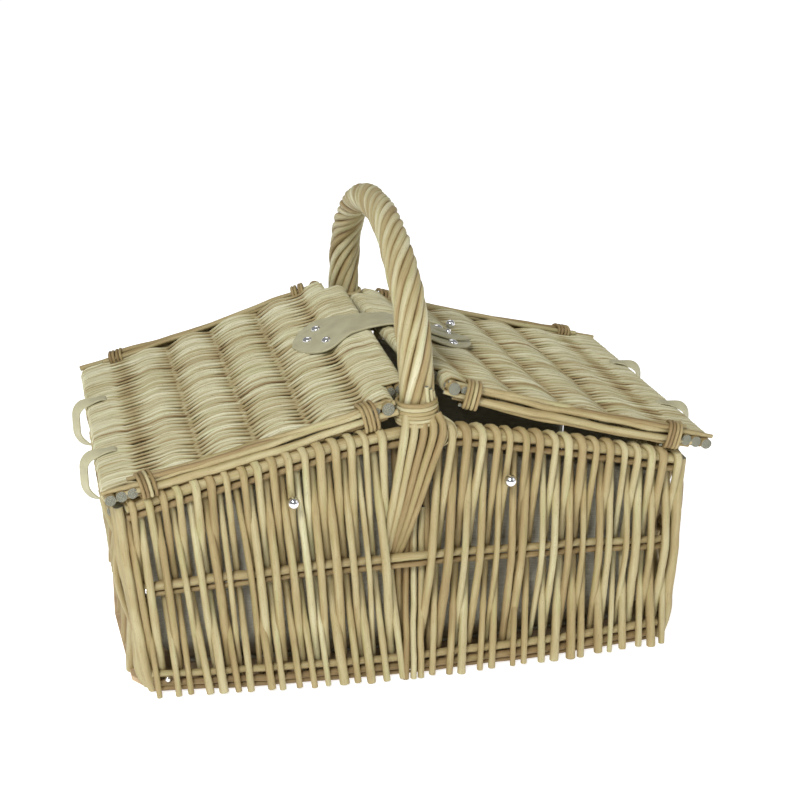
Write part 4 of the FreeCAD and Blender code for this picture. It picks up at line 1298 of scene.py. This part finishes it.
def band_ring(piece, line, half, thick, twist):
    """A closed flat band that follows a line in the XZ plane, turned by twist about the line."""
    after = np.roll(line, -1, 0)
    before = np.roll(line, 1, 0)
    tangent = unit(after - before)
    out = np.cross(tangent, Y_AXIS)
    if ((line - line.mean(0)) * out).sum() < 0:
        out = -out
    angle = np.linspace(0, math.tau, 20, endpoint=False)
    y = half * np.sign(np.cos(angle)) * np.abs(np.cos(angle)) ** 0.35
    w = thick / 2 * np.sign(np.sin(angle)) * np.abs(np.sin(angle)) ** 0.6
    wide = np.cos(twist)[:, None] * Y_AXIS + np.sin(twist)[:, None] * out
    high = np.cos(twist)[:, None] * out - np.sin(twist)[:, None] * Y_AXIS
    rings = line[:, None] + y[None, :, None] * wide[:, None] + w[None, :, None] * high[:, None]
    if np.dot(np.cross(Y_AXIS, out[0]), tangent[0]) < 0:
        rings = rings[:, ::-1]
    s = lengths(line)
    along = np.broadcast_to(s[:, None], rings.shape[:2])
    grain = np.stack([along, np.broadcast_to(y, along.shape), np.broadcast_to(w, along.shape)], -1)
    piece.loft(rings, grain, 0.5, closed=True)


# ---- lining ---------------------------------------------------------------------------
LINING_IN = 13.2
CLOTH = 0.7
HEM_DROP = 15.0  # how far the top hem is under the rim


def cloth(name, grid, node):
    """A thin cloth sheet over a grid of points."""
    du = np.gradient(grid, axis=0)
    dv = np.gradient(grid, axis=1)
    normal = unit(np.cross(du, dv))
    n, m = grid.shape[:2]
    back = grid - normal * CLOTH
    front_row = np.concatenate([grid, back[:, ::-1]], 1)
    u = np.broadcast_to(np.arange(n)[:, None] * 5.0, (n, m))
    v = np.broadcast_to(np.arange(m)[None] * 5.0, (n, m))
    coordinates = np.stack([u, v, 0 * u], -1)
    coordinates = np.concatenate([coordinates, coordinates[:, ::-1]], 1)
    piece = Piece()
    piece.slab(front_row, coordinates)
    made = piece.make(name, LINING, "basket", "lining", [node])


def hem_inset(z):
    """The lining hangs straight, then its foot is drawn in to meet the floor's cloth."""
    fall = np.clip((44.0 - z) / 34.0, 0, 1)
    return LINING_IN + 26.0 * fall**1.6


def make_lining():
    floor_z = PANEL_TOP + 2.6
    for sign, name in ((-1, "front"), (1, "rear")):
        x = np.linspace(-RIM_X + 14, RIM_X - 14, 84)
        levels = np.linspace(0, 1, 34)
        grid = np.zeros((len(x), len(levels), 3))
        for j, f in enumerate(levels):
            z = floor_z + (rim_height(x) - HEM_DROP - floor_z) * f
            inset = hem_inset(z)
            ease = 0.9 * np.sin(x * 0.11 + 2 * f) * np.sin(math.pi * f)
            point = long_wall(x, z, -inset - 1.0 + ease, sign)
            point[:, 0] *= 1 - (inset - LINING_IN) / RIM_X
            grid[:, j] = point
        flip = grid if sign < 0 else grid[:, ::-1]
        cloth(name + "_lining", flip, "lining_" + name)
    for sign, name in ((-1, "left"), (1, "right")):
        y = np.linspace(-RIM_HALF_WIDTH + 15.5, RIM_HALF_WIDTH - 15.5, 52)
        levels = np.linspace(0, 1, 30)
        grid = np.zeros((len(y), len(levels), 3))
        top_z = rim_height(RIM_X) - HEM_DROP
        for j, f in enumerate(levels):
            z = np.full(y.shape, floor_z + (top_z - floor_z) * f)
            inset = hem_inset(z)
            point = end_wall(y, z, -inset + 0.7 * np.sin(y * 0.13) * np.sin(math.pi * f))
            point[:, 1] *= 1 - (inset - LINING_IN) / RIM_HALF_WIDTH
            point[:, 0] *= sign
            grid[:, j] = point
        flip = grid if sign > 0 else grid[:, ::-1]
        cloth(name + "_lining", flip, "lining_" + name)
    inset = hem_inset(floor_z) - 1
    x = np.linspace(-BASE_X + inset, BASE_X - inset, 80)
    half = BASE_HALF_WIDTH + arch(x, BASE_X, BASE_BOW) - inset
    rows = np.linspace(-1, 1, 50)
    grid = np.stack([np.broadcast_to(x[:, None], (80, 50)), half[:, None] * rows[None],
                     np.full((80, 50), floor_z - 0.6)], -1)
    cloth("floor_lining", grid, "lining_floor")


# ---- metal on the walls ---------------------------------------------------------------
BALL_R = 4.9
BALL_PLACES = ((-94.0, 161.0), (75.0, 164.0))
NAIL_PLACES = ((-211.0, 91.0), (-205.0, 14.0), (-8.0, 9.0), (206.0, 11.0))


def make_wall_studs():
    """Bright balls high on both long walls, and small nail heads at the bands."""
    angles = np.linspace(-math.pi / 2 * 0.97, math.pi / 2 * 0.97, 15)
    ball = [(BALL_R * math.cos(a), BALL_R * math.sin(a)) for a in angles]
    for sign, name in ((-1, "front"), (1, "rear")):
        balls = Piece()
        mirror = np.array([1, -sign, 1])
        for x, z in BALL_PLACES:
            place = straight_front(np.array([x]), np.array([z]), 11.0)[0] * mirror
            turned(balls, place, Y_AXIS * sign, ball)
        for x, z in NAIL_PLACES:
            place = straight_front(np.array([x]), np.array([z]), 3.4)[0] * mirror
            dome(balls, place, Y_AXIS * sign, 2.4)
        balls.make(name + "_balls", CHROME, "basket", "chrome", [name + "_studs"])


# ---- studio ---------------------------------------------------------------------------
CAMERA_AZIMUTH = math.radians(-11.72)
CAMERA_ELEVATION = math.radians(22.28)
CAMERA_ROLL = math.radians(-0.32)
CAMERA_DISTANCE = 1.5056
CAMERA_TARGET = (0, 0, 0.120)
CAMERA_LENS = 79.8
CAMERA_SHIFT = (0.0285, 0.0797)
FLOOR_HALF = 40.0  # metres


def make_camera():
    az, el, roll = CAMERA_AZIMUTH, CAMERA_ELEVATION, CAMERA_ROLL
    back = np.array([math.sin(az) * math.cos(el), -math.cos(az) * math.cos(el), math.sin(el)])
    right = np.array([math.cos(az), math.sin(az), 0])
    up = np.cross(back, right)
    right, up = (right * math.cos(roll) + up * math.sin(roll), up * math.cos(roll) - right * math.sin(roll))
    lens = bpy.data.cameras.new("camera")
    lens.lens = CAMERA_LENS
    lens.sensor_width = 36.0
    lens.shift_x, lens.shift_y = CAMERA_SHIFT
    lens.clip_end = 20.0
    camera = bpy.data.objects.new("camera", lens)
    matrix = np.eye(4)
    matrix[:3, 0], matrix[:3, 1], matrix[:3, 2] = right, up, back
    matrix[:3, 3] = np.array(CAMERA_TARGET) + back * CAMERA_DISTANCE
    camera.matrix_world = Matrix(matrix.tolist())
    bpy.context.scene.collection.objects.link(camera)
    bpy.context.scene.camera = camera


def make_floor():
    mesh = bpy.data.meshes.new("floor")
    corners = [(x * FLOOR_HALF, y * FLOOR_HALF, 0) for x, y in ((-1, -1), (1, -1), (1, 1), (-1, 1))]
    mesh.from_pydata(corners, [], [(0, 1, 2, 3)])
    floor = bpy.data.objects.new("floor", mesh)
    bpy.context.scene.collection.objects.link(floor)
    n = Nodes("floor")
    n.finish(Base_Color=(0.92, 0.92, 0.92, 1), Roughness=0.9, Emission_Strength=0.76)
    n.put(n.shader.inputs["Emission Color"], (1, 1, 1, 1))
    mesh.materials.append(n.material)


def area_light(name, place, target, size, power):
    light = bpy.data.lights.new(name, "AREA")
    light.energy = power
    light.size = size
    lamp = bpy.data.objects.new(name, light)
    away = np.array(place, float) - np.array(target, float)
    lamp.location = place
    lamp.rotation_mode = "QUATERNION"
    lamp.rotation_quaternion = Vector(away).to_track_quat("Z", "Y")
    bpy.context.scene.collection.objects.link(lamp)


def make_lights():
    world = bpy.data.worlds.new("studio")
    world.use_nodes = True
    background = world.node_tree.nodes["Background"]
    background.inputs["Color"].default_value = (1, 1, 1, 1)
    background.inputs["Strength"].default_value = 0.25
    bpy.context.scene.world = world
    area_light("key", (-0.9, -1.6, 1.9), (0, 0, 0.15), 0.7, 44)
    area_light("fill", (1.6, -1.0, 1.2), (0, 0, 0.1), 1.4, 5)
    area_light("rim", (0.2, 1.6, 1.8), (0, 0, 0.2), 1.2, 5)
    view = bpy.context.scene.view_settings
    view.view_transform = "Standard"


def main():
    lids = {side: Lid(side) for side in ("left", "right")}
    make_stakes()
    make_base()
    make_bands()
    make_rims()
    make_posts()
    make_inner_rods()
    make_handle()
    make_feet()
    make_lids(lids)
    line = make_strap(lids)
    make_keeper(lids)
    make_metal(lids, line)
    make_hinge_rings(lids)
    make_lining()
    make_wall_studs()
    make_floor()
    make_lights()
    make_camera()


main()
